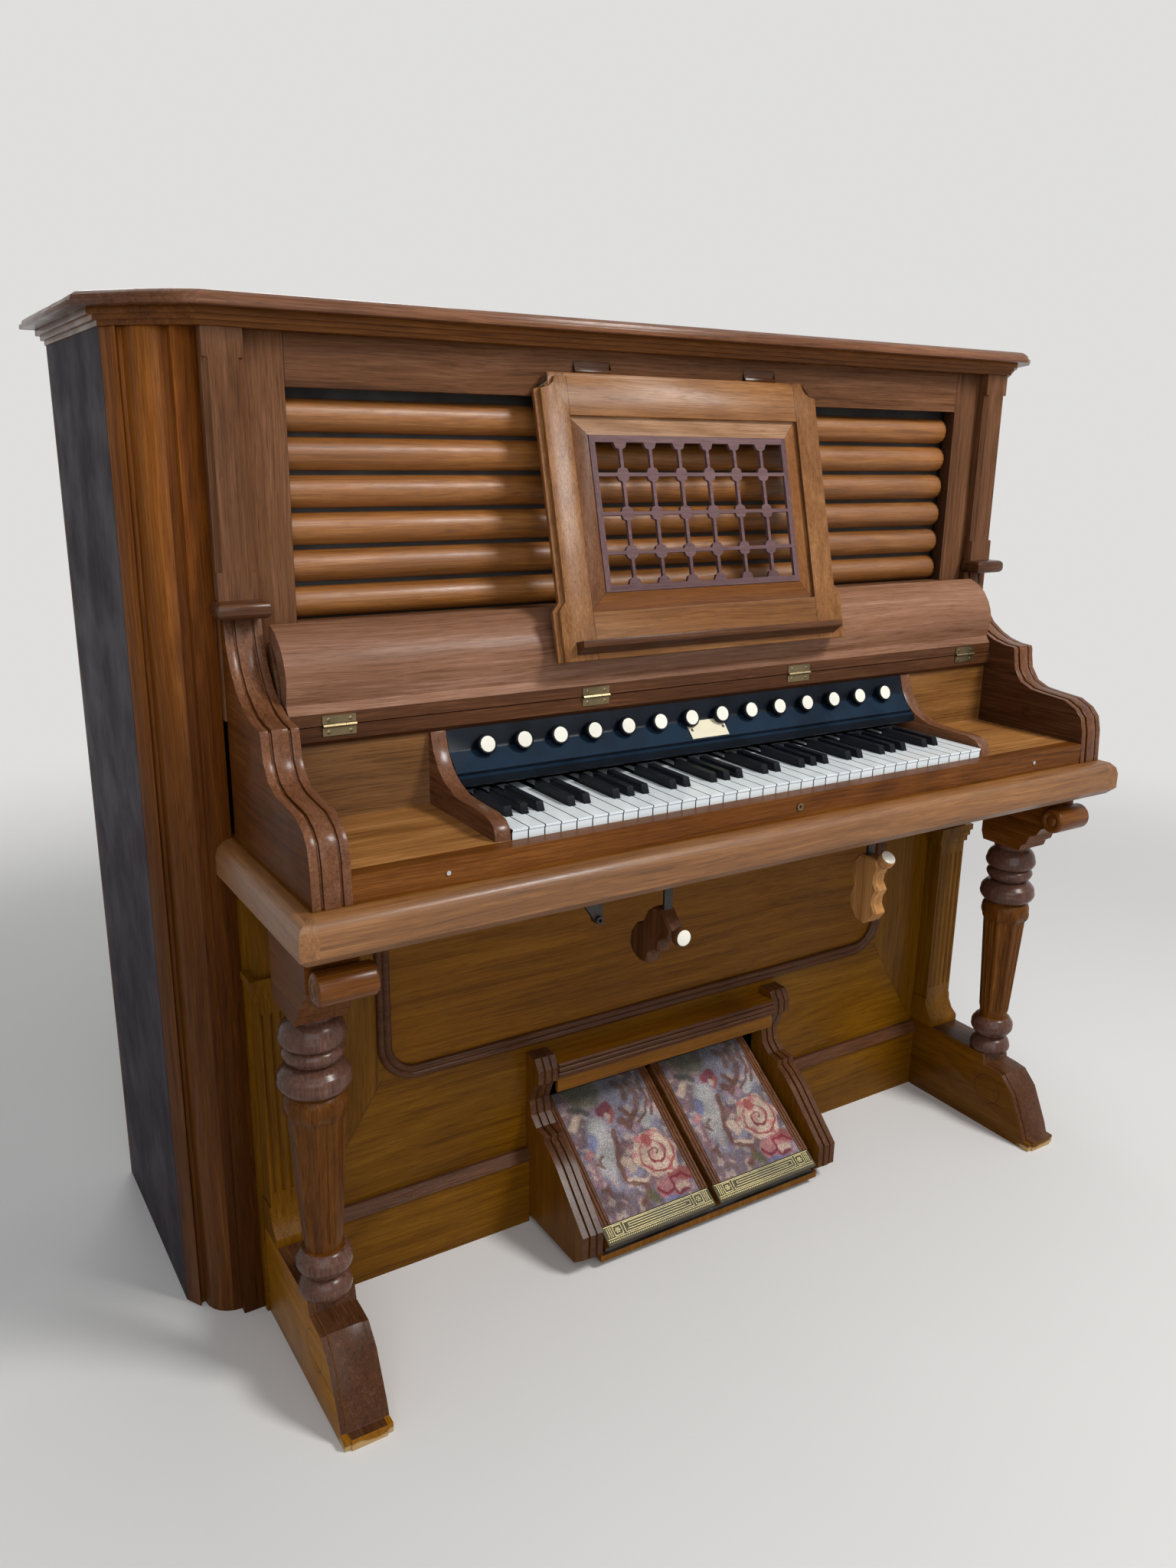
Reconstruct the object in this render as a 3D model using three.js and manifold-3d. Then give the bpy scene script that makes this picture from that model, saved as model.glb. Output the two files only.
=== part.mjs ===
// A pump organ with a five octave keyboard, fourteen stops and two treadles.
// Millimetres, X to the player's right, Y away from the player, Z up from the floor.
// Until the last step, places along Y are measured back from the fronts of the white keys.
import * as THREE from 'three';
import { mergeVertices } from 'three/addons/utils/BufferGeometryUtils.js';
import Module from 'manifold-3d';

const wasm = await Module();
wasm.setup();

// Shared clearances and the overrun of every cut
const touch = 0.2;
const seatGap = 0.3;
const runGap = 0.5;
const overrun = 2;

// Case: half width over the side panels, height from the hinge rail to the cornice, depth to the back
const bodyHalf = 782;
const upperHigh = 469;
const caseBack = 727;
const sideThick = 22;
const backThick = 12;

// Corner posts: a straight stile toward the middle, a round, and a slanted fillet at the side
const postStile = 30;
const postAcross = 94;
const postFront = 274;
const postDeep = 73;
const postSetBack = 13;
const postRadius = 42;
const filletDeep = 25;
const filletAcross = 14;
const filletGroove = 5;

// Keyboard: the top of the white keys above the floor, and the keys
const keyTop = 772;
const naturalCount = 36;
const naturalPitch = 23.4;
const keyGap = 0.8;
const keyThick = 20;
const keyLip = 1.5;
const keyLipThick = 2.6;
const keyRear = 186;
const sharpFront = 50;
const sharpFrontGap = 1.8;
const sharpBack = 141;
const sharpWide = 10.4;
const sharpRise = 12;
const sharpNoseDeep = 5;
const keyPivotY = 172;
const keyFrameDrop = 30;
const keyFrameWide = 20;
const noteNames = ['F', 'G', 'A', 'B', 'C', 'D', 'E'];
const sharpNotes = ['F', 'G', 'A', 'C', 'D'];
const turningSkipCount = 14;

// Key bed and the half round nosing along its front and sides
const bedDrop = 46;
const bedThick = 57;
const bedFront = -30;
const bedBack = 330;
const noseOut = 23;
const noseRadius = 22;
const noseChamfer = 11;

// Key slip, flat key blocks and upright boards beside the keyboard
const slipFront = -27;
const slipThick = 24;
const slipDrop = 13;
const wellBoardY = 188;
const wellBoardThick = 8;

// Key cheeks beside the keys: a hollow quarter round with a flat foot
const cheekThick = 22;
const cheekGap = 0.8;
const cheekDeep = 187;
const cheekShares = [
  [1, 1], [0.969, 1], [0.952, 0.88], [0.925, 0.74], [0.86, 0.565], [0.775, 0.43], [0.69, 0.36],
  [0.59, 0.3], [0.46, 0.283], [0.16, 0.272], [0.07, 0.235], [0.018, 0.16], [0, 0.06], [0, 0], [1, 0],
];

// Hinge rail and the shelf behind it, above the stops
const railY = 178;
const railDrop = 111;
const railThick = 24;
const railCove = 6;

// Stop board: a leaning face, a slanted ledge and a narrow band above the keys
const stopBoardY = 142;
const stopBoardRise = 14;
const stopBoardDeep = 58;
const stopBoardShares = [
  [1, 1], [0.707, 1], [0.534, 0.603], [0.155, 0.274], [0.155, 0.219], [0.034, 0.192], [0, 0.055],
  [0.14, 0], [1, 0],
];

// Stops: turned knobs on round stems
const stopCount = 14;
const stopEndGap = 52;
const stopY = 174.5;
const stopRise = 62.3;
const stopTilt = 0.333;
const knobRadius = 13.8;
const knobLength = 13.2;
const knobBack = 5.2;
const knobRim = 1.2;
const stemRadius = 6.6;
const stemLength = 56;
const stemHole = 7.3;
const stopSides = 8;
const drillLong = 140;

// Name plate under the stops
const plateHalf = 34;
const plateHigh = 13;
const plateThick = 1.2;
const plateAlong = 3;
const plateEdgeCount = 2;

// Arms: scrolled ends of the key well with beaded front edges
const armOuterGap = 2;
const armWide = 48;
const armHigh = 290;
const armBead = 4;
const armShares = [
  [0, 0], [0.012, 0.18], [0.031, 0.259], [0.075, 0.307], [0.153, 0.345], [0.305, 0.359], [0.386, 0.369],
  [0.46, 0.4], [0.51, 0.469], [0.524, 0.54], [0.527, 0.572], [0.536, 0.596], [0.61, 0.603], [0.685, 0.621],
  [0.753, 0.652], [0.83, 0.705], [0.895, 0.79], [0.935, 0.88], [0.955, 1],
];
const armLayerShares = [[0.22, 0.2], [0.07, 1], [0.42, 0], [0.07, 1], [0.22, 0.2]];

// Upper frame around the louvres
const faceY = 265;
const frameThick = 22;
const openSideIn = 100;
const openDrop = 63;
const openRise = 120;
const logCount = 6;
const logTopGap = 11.6;
const logGap = 5.4;
const logEndGap = 3;
const logArc = 8;
const louvreBackThick = 8;

// Upper pilasters with stopped chamfers, on rounded caps
const pilasterPast = 3;
const pilasterWide = 49;
const pilasterOut = 20;
const pilasterChamfer = 7;
const pilasterStop = 34;
const pilasterRise = 154;
const capPast = 8;
const capOut = 46;
const capHigh = 21;

// Cornice moulding and lid board, set out from the lip of the lid
const lidSideOut = 33;
const lidFrontOut = 33;
const cornerAcross = 118;
const cornerDeep = 125;
const cornerShares = [[1, 1], [0.534, 0.376], [0.22, 0.12], [0, 0]];
const lidThick = 17;
const lidLip = 6;
const lidLipIn = 3;
const lidEdgeIn = 14;
const lidEdge = 10;
const corniceHigh = 20;
const corniceTopIn = 20;
const corniceMidIn = 26;
const corniceFootIn = 31;
const corniceFillet = 6;
const corniceWide = 60;

// Fallboard: a curved board hinged on the rail, with a folding front leaf
const fallGap = 4;
const fallHigh = 123;
const fallDeep = 56;
const fallShares = [
  [0, 0.01], [0, 0.137], [0.15, 0.225], [0.08, 0.34], [0.035, 0.49], [0.09, 0.6], [0.2, 0.715],
  [0.39, 0.835], [0.67, 0.94], [1, 1],
];
const fallBackShares = [
  [1.13, 0.86], [0.86, 0.77], [0.66, 0.66], [0.53, 0.53], [0.45, 0.39], [0.43, 0.01],
];
const leafLong = 98;
const leafThick = 13;
const leafLip = 24;
const leafLipThick = 12;
const leafHang = 0.368;
const leafBarrel = 3.4;
const leafHingeOut = 66;
const leafHingeUp = 104;

// Butt hinges of the fallboard
const hingePlaceShares = [0.29874, 0.89905];
const hingeWide = 44;
const hingeLeaf = 13;
const hingeThick = 1.4;
const hingeBarrel = 2.6;
const hingeSides = 6;
const knuckleShare = 0.34;

// Music desk: a framed panel leaning on its top hinges, with a lattice
const deskHingeDrop = 28.4;
const deskRise = 54.75;
const deskLean = 0.2487;
const deskThick = 14;
const deskHalf = 252;
const deskFootHalf = 263;
const deskFootTallShare = 0.2081;
const deskNotch = 24;
const deskOpenHalf = 177;
const deskOpenFootShare = 0.231;
const deskOpenTallShare = 0.5508;
const deskRaise = 5;
const deskRaiseWide = 26;
const deskEdge = 7;
const ledgeHalf = 236;
const ledgeFoot = 8;
const ledgeTall = 18;
const ledgeOut = 20;
const deskHinge = 3.6;
const deskHingeWide = 60;
const deskHingeX = 150;
const deskHingeLeaf = 14;

// Lattice of the music desk
const latticeColumns = 6;
const latticeRows = 3;
const latticeBar = 5;
const latticeThick = 5;
const latticeDisc = 11;
const latticeSides = 8;
const latticeSunk = 1;
const latticeRim = 9;

// Knee panel, its moulding, and the plinth with its rail
const kneeY = 262;
const kneeThick = 14;
const plinthHigh = 118;
const plinthOut = 11;
const plinthRailHigh = 16;
const plinthRailOut = 7;
const mouldIn = 115;
const mouldFoot = 315;
const mouldDrop = 37;
const mouldRadius = 62;
const mouldWide = 19;
const mouldBead = 5;
const mouldBeadWide = 8.5;
const mouldSegments = 3;

// Pedal box: scrolled cheeks, a moulded ledge, and a floor
const boxHalf = 256;
const boxCheek = 36;
const boxFront = 84;
const boxFoot = 13;
const boxHigh = 289;
const boxEdge = 4;
const boxShares = [
  [0.14, 0], [0, 0.065], [0, 0.2], [0.2, 0.318], [0.44, 0.46], [0.57, 0.52], [0.665, 0.55],
  [0.665, 0.585], [0.81, 0.592], [0.9, 0.64], [0.93, 0.72], [0.85, 0.83], [0.77, 0.86], [0.77, 0.94],
  [0.84, 1],
];
const boxLayerShares = [[0.27, 0.2], [0.1, 1], [0.26, 0], [0.1, 1], [0.27, 0.2]];
const boxFloorThick = 11;
const boxFloorOut = 6;
const boxLedgeThick = 34;
const boxLedgeDeep = 40;
const boxLedgeBead = 6;
const openingTop = 257;

// Treadles: boards on their heel edges, side strips, carpet and heel plate
const treadleY = 94;
const treadleBarrel = 3;
const treadleLong = 256;
const treadleThick = 16;
const treadleSlope = 0.611;
const treadleSideGap = 9;
const treadleMiddle = 5;
const stripWide = 17;
const stripThick = 6;
const reedCount = 3;
const reedArc = 3;
const carpetThick = 4;
const heelLong = 28;
const heelThick = 2;
const heelLip = 6;

// Feet: boards on edge with a scroll in front
const footSideGap = 4;
const footWide = 66;
const footFront = -42;
const footHigh = 142;
const footEdge = 3;
const footShares = [
  [1, 0], [0, 0], [0, 0.12], [0.045, 0.125], [0.0625, 0.239], [0.105, 0.43], [0.161, 0.676], [0.247, 0.852],
  [0.322, 0.873], [0.385, 0.875], [0.395, 1], [1, 1],
];
const footLayerShares = [[0.13, 1], [0.74, 0], [0.13, 1]];

// Front columns
const columnIn = 35;
const columnY = 96;
const columnSides = 12;
const columnRadius = 46;
const columnShares = [
  [0, 0], [0.72, 0], [0.74, 0.035], [0.46, 0.07], [0.74, 0.095], [0.8, 0.12],
  [0.72, 0.148], [0.52, 0.168], [0.76, 0.64], [0.89, 0.69], [0.72, 0.73],
  [0.98, 0.75], [1, 0.78], [0.92, 0.803], [0.6, 0.825], [0.86, 0.862], [0.7, 0.885], [0.89, 0.9],
  [0.9, 0.93], [0.63, 0.975], [0.66, 1], [0, 1],
];
const fluteCount = 8;
const fluteRadiusShare = 0.115;
const fluteFootShare = 0.19;
const fluteTopShare = 0.7;
const fluteFootReachShare = 0.61;
const fluteTopReachShare = 0.84;
const fluteSides = 4;

// Brackets under the key bed, each with a roll in front
const bracketSideGap = 1;
const bracketWide = 67;
const bracketFront = 8;
const bracketDeep = 132;
const bracketHigh = 119;
const bracketShares = [
  [0, 1], [0, 0.46], [0.07, 0.42], [0.13, 0.31], [0.23, 0.26], [0.27, 0.14], [0.34, 0.09], [0.37, 0],
  [0.96, 0], [1, 0.12], [1, 1],
];
const rollRadius = 21;
const rollDrop = 148;
const rollPast = 12;
const rollLong = 76;
const rollTuckShare = 0.2;
const rollSides = 8;
const rollShares = [[0, 0], [0.3, 0], [0.45, 0.8], [0.68, 0.1], [1, 1]];
const rollEye = 4;

// Rear pilasters behind the columns
const rearOut = 34;
const rearInset = 2;
const rearFootHigh = 51;
const rearFootOut = 23;
const rearCapDrop = 262;
const rearCapHigh = 33;
const rearCapCount = 3;
const rearCapOut = 3;
const rearFluteCount = 5;
const rearFluteRadius = 3.2;
const rearFluteStop = 22;
const rearFluteSides = 4;
const rearShares = [[0, 1], [0.08, 0.72], [0.45, 0.42], [0.92, 0.26], [1, 0.2], [1, 0]];

// Knee levers: iron straps with wooden paddles, swinging outward under the bed
const leverLeftX = -152;
const leverLeftArm = 62;
const leverLeftTilt = 0.78;
const leverRightX = 238;
const leverRightArm = 45;
const leverY = 40;
const leverDrop = 22;
const leverPin = 4;
const leverPinLong = 34;
const leverHub = 8;
const leverHubLong = 16;
const leverArmWide = 14;
const leverArmThick = 4;
const leverArmPast = 12;
const paddleHigh = 112;
const paddleDeep = 58;
const paddleThick = 24;
const paddleEdge = 3;
const paddleHangShare = 0.55;
const paddleAbove = 12;
const paddleShares = [
  [0.12, 1], [0.03, 0.86], [0.12, 0.76], [0.14, 0.66], [0, 0.56], [0.12, 0.44], [0.13, 0.33], [0, 0.22],
  [0.18, 0.08], [0.45, 0], [0.75, 0.03], [0.96, 0.18], [1, 0.36], [0.9, 0.52], [1, 0.7], [0.95, 0.88],
  [0.75, 1],
];
const bossTilt = 0.87;
const bossRadius = 13;
const bossNeck = 9;
const bossNeckLong = 4;
const bossLong = 16;
const bossRim = 2;
const bossIn = 4;
const bossDown = 6;
const bossSides = 8;
const leverPlateWide = 40;
const leverPlateDeep = 40;
const leverPlateThick = 3;
const leverLugThick = 4;
const lugHalf = 8;

// Iron bracket with an eye, and small screws and a keyhole plate on the slip
const ironX = -276;
const ironY = 20;
const ironWide = 46;
const ironHigh = 50;
const ironThick = 8;
const eyeRadius = 6;
const eyeHole = 2.5;
const screwIn = 118;
const screwRadius = 3;
const screwOut = 2;
const escutcheonX = 22;
const escutcheonRadius = 6;
const escutcheonHole = 2.2;
const trimSides = 8;

// Inside: wind chest on its bearers, pleated reservoir, exhausters and bottom board
const chestDrop = 118;
const chestHigh = 52;
const chestBackGap = 24;
const reedPanHigh = 34;
const reedPanHalf = 430;
const reedPanDeep = 210;
const reservoirHalf = 330;
const reservoirDeep = 150;
const reservoirHigh = 250;
const pleatCount = 4;
const pleatDeep = 26;
const bottomThick = 16;
const bottomRise = 14;

// Heights and places worked out from the sizes above
const bedTop = keyTop - bedDrop;
const bedUnder = bedTop - bedThick;
const slipTop = keyTop - slipDrop;
const railTop = keyTop + railDrop;
const railUnder = railTop - railThick;
const bodyTop = railTop + upperHigh;
const keyHalf = naturalCount * naturalPitch / 2;
const stopPitch = (keyHalf - stopEndGap) * 2 / (stopCount - 1);
const blockInner = keyHalf + cheekGap;
const postInner = bodyHalf - postAcross;
const openTop = bodyTop - openDrop;
const bracketUnder = bedUnder - bracketHigh;
const openHalf = postInner - openSideIn;
const openHigh = openTop - railTop - openRise;
const logRadius = (openHigh - touch - logTopGap - logGap * (logCount - 1)) / (logCount * 2);
const louvreBackY = faceY + frameThick + logRadius / 2;
const armInner = postInner - armOuterGap - armWide;
const fallHalf = armInner - fallGap;
const screwPlace = armInner - screwIn;
const pilasterInner = postInner + pilasterPast - pilasterWide;
const pilasterFoot = railTop + pilasterRise;
const deskHingeZ = bodyTop - deskHingeDrop;
const deskTall = (deskHingeZ - railTop - deskRise) / Math.cos(deskLean) - deskHinge - runGap;
const deskFootTall = deskTall * deskFootTallShare;
const deskOpenFoot = deskTall * deskOpenFootShare;
const deskOpenTall = deskTall * deskOpenTallShare;
const footInner = postInner - footSideGap - footWide;
const columnX = postInner - columnIn;
const bracketInner = postInner - bracketSideGap - bracketWide;
const mouldHalf = footInner - mouldIn;
const treadleOuter = boxHalf - boxCheek - treadleSideGap;
const mouldTop = bedUnder - mouldDrop;
const hingeZ = railTop + runGap * 2;
const hingeY = railY - hingeBarrel - touch;

// Shape helpers
const bare = (geometry) => {
  const copy = geometry.index ? geometry.toNonIndexed() : geometry.clone();
  copy.deleteAttribute('normal');
  copy.deleteAttribute('uv');
  return mergeVertices(copy);
};

const toSolid = (geometry) => {
  const clean = bare(geometry);
  return new wasm.Manifold(new wasm.Mesh({
    numProp: 3,
    vertProperties: Float32Array.from(clean.attributes.position.array),
    triVerts: Uint32Array.from(clean.index.array),
  }));
};

const fromSolid = (shape) => {
  const mesh = shape.getMesh();
  const geometry = new THREE.BufferGeometry();
  geometry.setAttribute('position', new THREE.BufferAttribute(mesh.vertProperties, 3));
  geometry.setIndex(new THREE.BufferAttribute(mesh.triVerts, 1));
  return geometry;
};

const join = (...shapes) => fromSolid(shapes.map(toSolid).reduce((sum, next) => sum.add(next)));

const cut = (body, ...tools) => {
  const start = toSolid(body);
  return fromSolid(tools.map(toSolid).reduce((left, tool) => left.subtract(tool), start));
};

const common = (first, second) => fromSolid(toSolid(first).intersect(toSolid(second)));

const moved = (geometry, x, y, z) => geometry.clone().translate(x, y, z);

const mirrored = (geometry) => {
  const copy = bare(geometry);
  copy.scale(-1, 1, 1);
  const index = copy.index.array;
  for (let i = 0; i < index.length; i += 3) {
    [index[i], index[i + 1]] = [index[i + 1], index[i]];
  }
  return copy;
};

const pair = (geometry) => [geometry, mirrored(geometry)];

const box = (x0, x1, y0, y1, z0, z1) => {
  const shape = new THREE.BoxGeometry(x1 - x0, y1 - y0, z1 - z0);
  return shape.translate((x0 + x1) / 2, (y0 + y1) / 2, (z0 + z1) / 2);
};

const outline = (points) => new THREE.Shape(points.map(([a, b]) => new THREE.Vector2(a, b)));

const slab = (shape, depth, curveSegments = mouldSegments) => new THREE.ExtrudeGeometry(
  shape, { depth, bevelEnabled: false, curveSegments },
);

const axes = (x, y, z) => new THREE.Matrix4().makeBasis(
  new THREE.Vector3(...x), new THREE.Vector3(...y), new THREE.Vector3(...z),
);

// A profile of Y and Z drawn along X, of X and Z along Y, and of X and Y along Z
const alongX = (points, x0, x1) => slab(outline(points), x1 - x0)
  .applyMatrix4(axes([0, 1, 0], [0, 0, 1], [1, 0, 0])).translate(x0, 0, 0);

const alongY = (shape, y0, y1) => slab(shape, y1 - y0)
  .applyMatrix4(axes([1, 0, 0], [0, 0, 1], [0, -1, 0])).translate(0, y1, 0);

const alongZ = (shape, z0, z1) => slab(shape, z1 - z0).translate(0, 0, z0);

const placed = (shares, y, z, deep, high) => shares.map(([a, b]) => [y + a * deep, z + b * high]);

// Moves the front run of a profile into the body by a distance, with both ends kept level
const inset = (run, distance) => run.map(([y, z], i) => {
  const before = run[Math.max(i - 1, 0)];
  const after = run[Math.min(i + 1, run.length - 1)];
  const along = new THREE.Vector2(after[0] - before[0], after[1] - before[1]).normalize();
  const level = i === 0 || i === run.length - 1;
  return [y + along.y * distance, level ? z : z - along.x * distance];
});

// Builds a board from side by side layers whose front run is sunk by shares of a depth
const layered = (run, closing, x0, wide, layerShares, depth) => {
  let x = x0;
  const layers = layerShares.map(([wideShare, sunkShare]) => {
    const next = x + wide * wideShare;
    const layer = alongX([...inset(run, depth * sunkShare), ...closing], x, next);
    x = next;
    return layer;
  });
  return join(...layers);
};

const turned = (points, sides) => new THREE.LatheGeometry(
  points.map(([r, z]) => new THREE.Vector2(r, z)), sides,
).rotateX(Math.PI / 2);

const rod = (radius, length, sides, farRadius = radius) => new THREE.CylinderGeometry(
  farRadius, radius, length, sides,
).rotateX(Math.PI / 2).translate(0, 0, length / 2);

const rodX = (radius, x0, x1, y, z, sides) => rod(radius, x1 - x0, sides)
  .rotateY(Math.PI / 2).translate(x0, y, z);

// Colours as photographed
const tones = {
  walnut: [0x6b3a1c, 0.4, 0],
  dark: [0x3a1d14, 0.35, 0],
  rose: [0x6d3327, 0.35, 0],
  black: [0x0c0c10, 0.15, 0],
  ivory: [0xe9e6d8, 0.35, 0],
  ebony: [0x121214, 0.3, 0],
  brass: [0xc2a667, 0.3, 1],
  iron: [0x22201f, 0.6, 0.6],
  carpet: [0x7d7a80, 0.95, 0],
  plate: [0xd8d0b4, 0.4, 0],
  shadow: [0x18100c, 0.8, 0],
  cloth: [0x4a4038, 0.9, 0],
};

const organ = new THREE.Group();
organ.name = 'pump_organ';

const add = (name, geometry, tone) => {
  const [color, roughness, metalness] = tones[tone];
  const material = new THREE.MeshStandardMaterial({ color, roughness, metalness });
  material.name = `${tone}_${name}`;
  const clean = bare(geometry);
  clean.computeVertexNormals();
  const mesh = new THREE.Mesh(clean, material);
  mesh.name = name;
  organ.add(mesh);
  return mesh;
};

const addPair = (name, geometry, tone) => {
  add(`${name}_left`, mirrored(geometry), tone);
  add(`${name}_right`, geometry, tone);
};

// Case shell: side panels, back and bottom board
const sideInner = bodyHalf - sideThick;
const caseShell = () => {
  const back = caseBack - backThick;
  const front = postFront + postDeep;
  const low = bottomRise;
  const high = bottomRise + bottomThick;
  return join(
    ...pair(box(sideInner, bodyHalf, front, back + touch, 0, bodyTop)),
    box(-bodyHalf, bodyHalf, back, caseBack, 0, bodyTop),
    box(-sideInner - touch, sideInner + touch, front, back + touch, low, high),
    box(-postInner, postInner, kneeY + kneeThick, front + touch, low, high),
  );
};
add('case_shell', caseShell(), 'walnut');

const cornerPost = () => {
  const stileEnd = postInner + postStile;
  const roundY = postFront + postSetBack;
  const plan = new THREE.Shape();
  plan.moveTo(postInner, postFront);
  plan.lineTo(stileEnd, postFront);
  plan.lineTo(stileEnd, roundY);
  plan.absarc(stileEnd, roundY + postRadius, postRadius, -Math.PI / 2, 0, false);
  plan.lineTo(stileEnd + postRadius + filletGroove, roundY + postRadius);
  plan.lineTo(bodyHalf - filletAcross, postFront + postDeep - filletDeep);
  plan.lineTo(bodyHalf, postFront + postDeep);
  plan.lineTo(postInner, postFront + postDeep);
  return alongZ(plan, 0, bodyTop);
};
addPair('corner_post', cornerPost(), 'walnut');

// Plan of the cornice and lid at a distance in from the lip, open at the back of the case
const cornicePlan = (distance, back = caseBack) => {
  const side = bodyHalf + lidSideOut;
  const front = faceY - pilasterOut - lidFrontOut;
  const corner = cornerShares.map(([a, b]) => [
    side - cornerAcross + a * cornerAcross, front + b * cornerDeep,
  ]);
  const right = [[side, back], ...corner];
  const left = right.map(([x, y]) => [-x, y]).reverse();
  return outline(inset([...right, ...left], distance));
};

const cornice = () => {
  const inner = bodyHalf - corniceWide;
  const front = faceY + corniceWide;
  const back = caseBack - corniceWide;
  const ring = (distance, low, high) => {
    const plan = cornicePlan(distance);
    plan.holes.push(new THREE.Path([
      new THREE.Vector2(-inner, front), new THREE.Vector2(inner, front),
      new THREE.Vector2(inner, back), new THREE.Vector2(-inner, back),
    ]));
    return alongZ(plan, bodyTop + low, bodyTop + high);
  };
  return join(
    ring(corniceFootIn, 0, corniceFillet),
    ring(corniceMidIn, corniceFillet, corniceFillet * 2),
    ring(corniceTopIn, corniceFillet * 2, corniceHigh),
  );
};
add('cornice_moulding', cornice(), 'walnut');

const lidBoard = () => {
  const foot = bodyTop + corniceHigh;
  const wide = bodyHalf + lidSideOut;
  const rounded = new THREE.ExtrudeGeometry(cornicePlan(lidLipIn, caseBack + lidEdgeIn), {
    depth: lidThick - lidEdge, bevelThickness: lidEdge, bevelSize: lidEdgeIn, bevelOffset: -lidEdgeIn,
    bevelSegments: 3,
  }).translate(0, 0, foot);
  const kept = box(-wide, wide, faceY - lidSideOut * 2, caseBack, foot, foot + lidThick);
  return join(alongZ(cornicePlan(0), foot, foot + lidLip), common(rounded, kept));
};
add('lid', lidBoard(), 'walnut');

// Louvres: half round logs on their backing
const louvres = () => {
  const half = openHalf - logEndGap;
  const logs = [];
  for (let i = 0; i < logCount; i += 1) {
    const z = openTop - openHigh + touch + logRadius + i * (logRadius * 2 + logGap);
    const arc = [];
    for (let k = 0; k <= logArc; k += 1) {
      const angle = Math.PI * (k / logArc - 1 / 2);
      arc.push([louvreBackY + touch - Math.cos(angle) * logRadius, z + Math.sin(angle) * logRadius]);
    }
    logs.push(alongX(arc, -half, half));
  }
  const backing = box(
    -postInner, postInner, louvreBackY, louvreBackY + louvreBackThick, railTop, bodyTop,
  );
  return join(backing, ...logs);
};
add('louvres', louvres(), 'walnut');
// Upper frame around the louvres, with its pilasters, their caps and the desk hinges
const upperPilaster = () => {
  const outer = pilasterInner + pilasterWide;
  const front = faceY - pilasterOut;
  const chamfered = outline([
    [pilasterInner, faceY], [pilasterInner, front + pilasterChamfer],
    [pilasterInner + pilasterChamfer, front], [outer - pilasterChamfer, front],
    [outer, front + pilasterChamfer], [outer, faceY],
  ]);
  const low = pilasterFoot + pilasterStop;
  const high = bodyTop - pilasterStop;
  const capFront = faceY - capOut;
  const round = capHigh / 3;
  const capPlan = outline([
    [pilasterInner - capPast, faceY], [pilasterInner - capPast, capFront],
    [outer + capPast, capFront], [outer + capPast, faceY],
  ]);
  const cap = new THREE.ExtrudeGeometry(capPlan, {
    depth: capHigh - round * 2, bevelThickness: round, bevelSize: round, bevelOffset: -round,
    bevelSegments: 3,
  }).translate(0, 0, pilasterFoot - capHigh + round);
  const squareCap = common(cap, box(
    pilasterInner - capPast, outer + capPast, capFront, faceY - round, pilasterFoot - capHigh, pilasterFoot,
  ));
  return join(
    box(pilasterInner, outer, front, faceY, pilasterFoot, low),
    alongZ(chamfered, low, high),
    box(pilasterInner, outer, front, faceY, high, bodyTop),
    squareCap,
    box(pilasterInner, outer, faceY - round * 2, faceY + touch, pilasterFoot - capHigh, bodyTop),
  );
};

const deskPivot = [faceY - deskHinge, deskHingeZ];
const deskKnuckle = (x) => {
  const half = deskHingeWide / 2;
  return join(
    rodX(deskHinge, x - half, x + half, ...deskPivot, trimSides),
    box(x - half, x + half, faceY - hingeThick, faceY + touch, deskHingeZ, deskHingeZ + deskHingeLeaf),
    box(x - half, x + half, faceY - deskHinge, faceY, deskHingeZ, deskHingeZ + deskHinge),
  );
};

const upperFrame = () => {
  const whole = box(-postInner, postInner, faceY, faceY + frameThick, railTop, bodyTop);
  const gap = box(
    -openHalf, openHalf, faceY - overrun, faceY + frameThick + overrun, openTop - openHigh, openTop,
  );
  return join(
    cut(whole, gap), ...pair(upperPilaster()), deskKnuckle(deskHingeX), deskKnuckle(-deskHingeX),
  );
};
add('upper_frame', upperFrame(), 'walnut');

// Arms
const arm = () => {
  const run = placed(armShares, bedFront, bedTop, faceY - bedFront, armHigh);
  const closing = [[faceY, bedTop + armHigh], [faceY, bedTop]];
  return layered(run, closing, armInner, armWide, armLayerShares, armBead);
};
addPair('arm', arm(), 'rose');

// Key bed with the irons under it
const leverZ = bedUnder - leverDrop;
const leverIron = (x) => {
  const half = leverPlateDeep / 2;
  const plate = box(
    x - leverPlateWide / 2, x + leverPlateWide / 2, leverY - half, leverY + half,
    bedUnder - leverPlateThick, bedUnder + touch,
  );
  const lugShape = outline([
    [x - leverPlateWide / 2, bedUnder - touch], [x - lugHalf, leverZ - lugHalf],
    [x + lugHalf, leverZ - lugHalf], [x + leverPlateWide / 2, bedUnder - touch],
  ]);
  const near = leverHubLong / 2 + runGap;
  const hole = rod(leverPin + runGap, leverPinLong * 2, trimSides).rotateX(Math.PI / 2)
    .translate(x, leverY + leverPinLong, leverZ);
  return cut(join(
    plate,
    alongY(lugShape, leverY - near - leverLugThick, leverY - near),
    alongY(lugShape, leverY + near, leverY + near + leverLugThick),
  ), hole);
};

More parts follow.
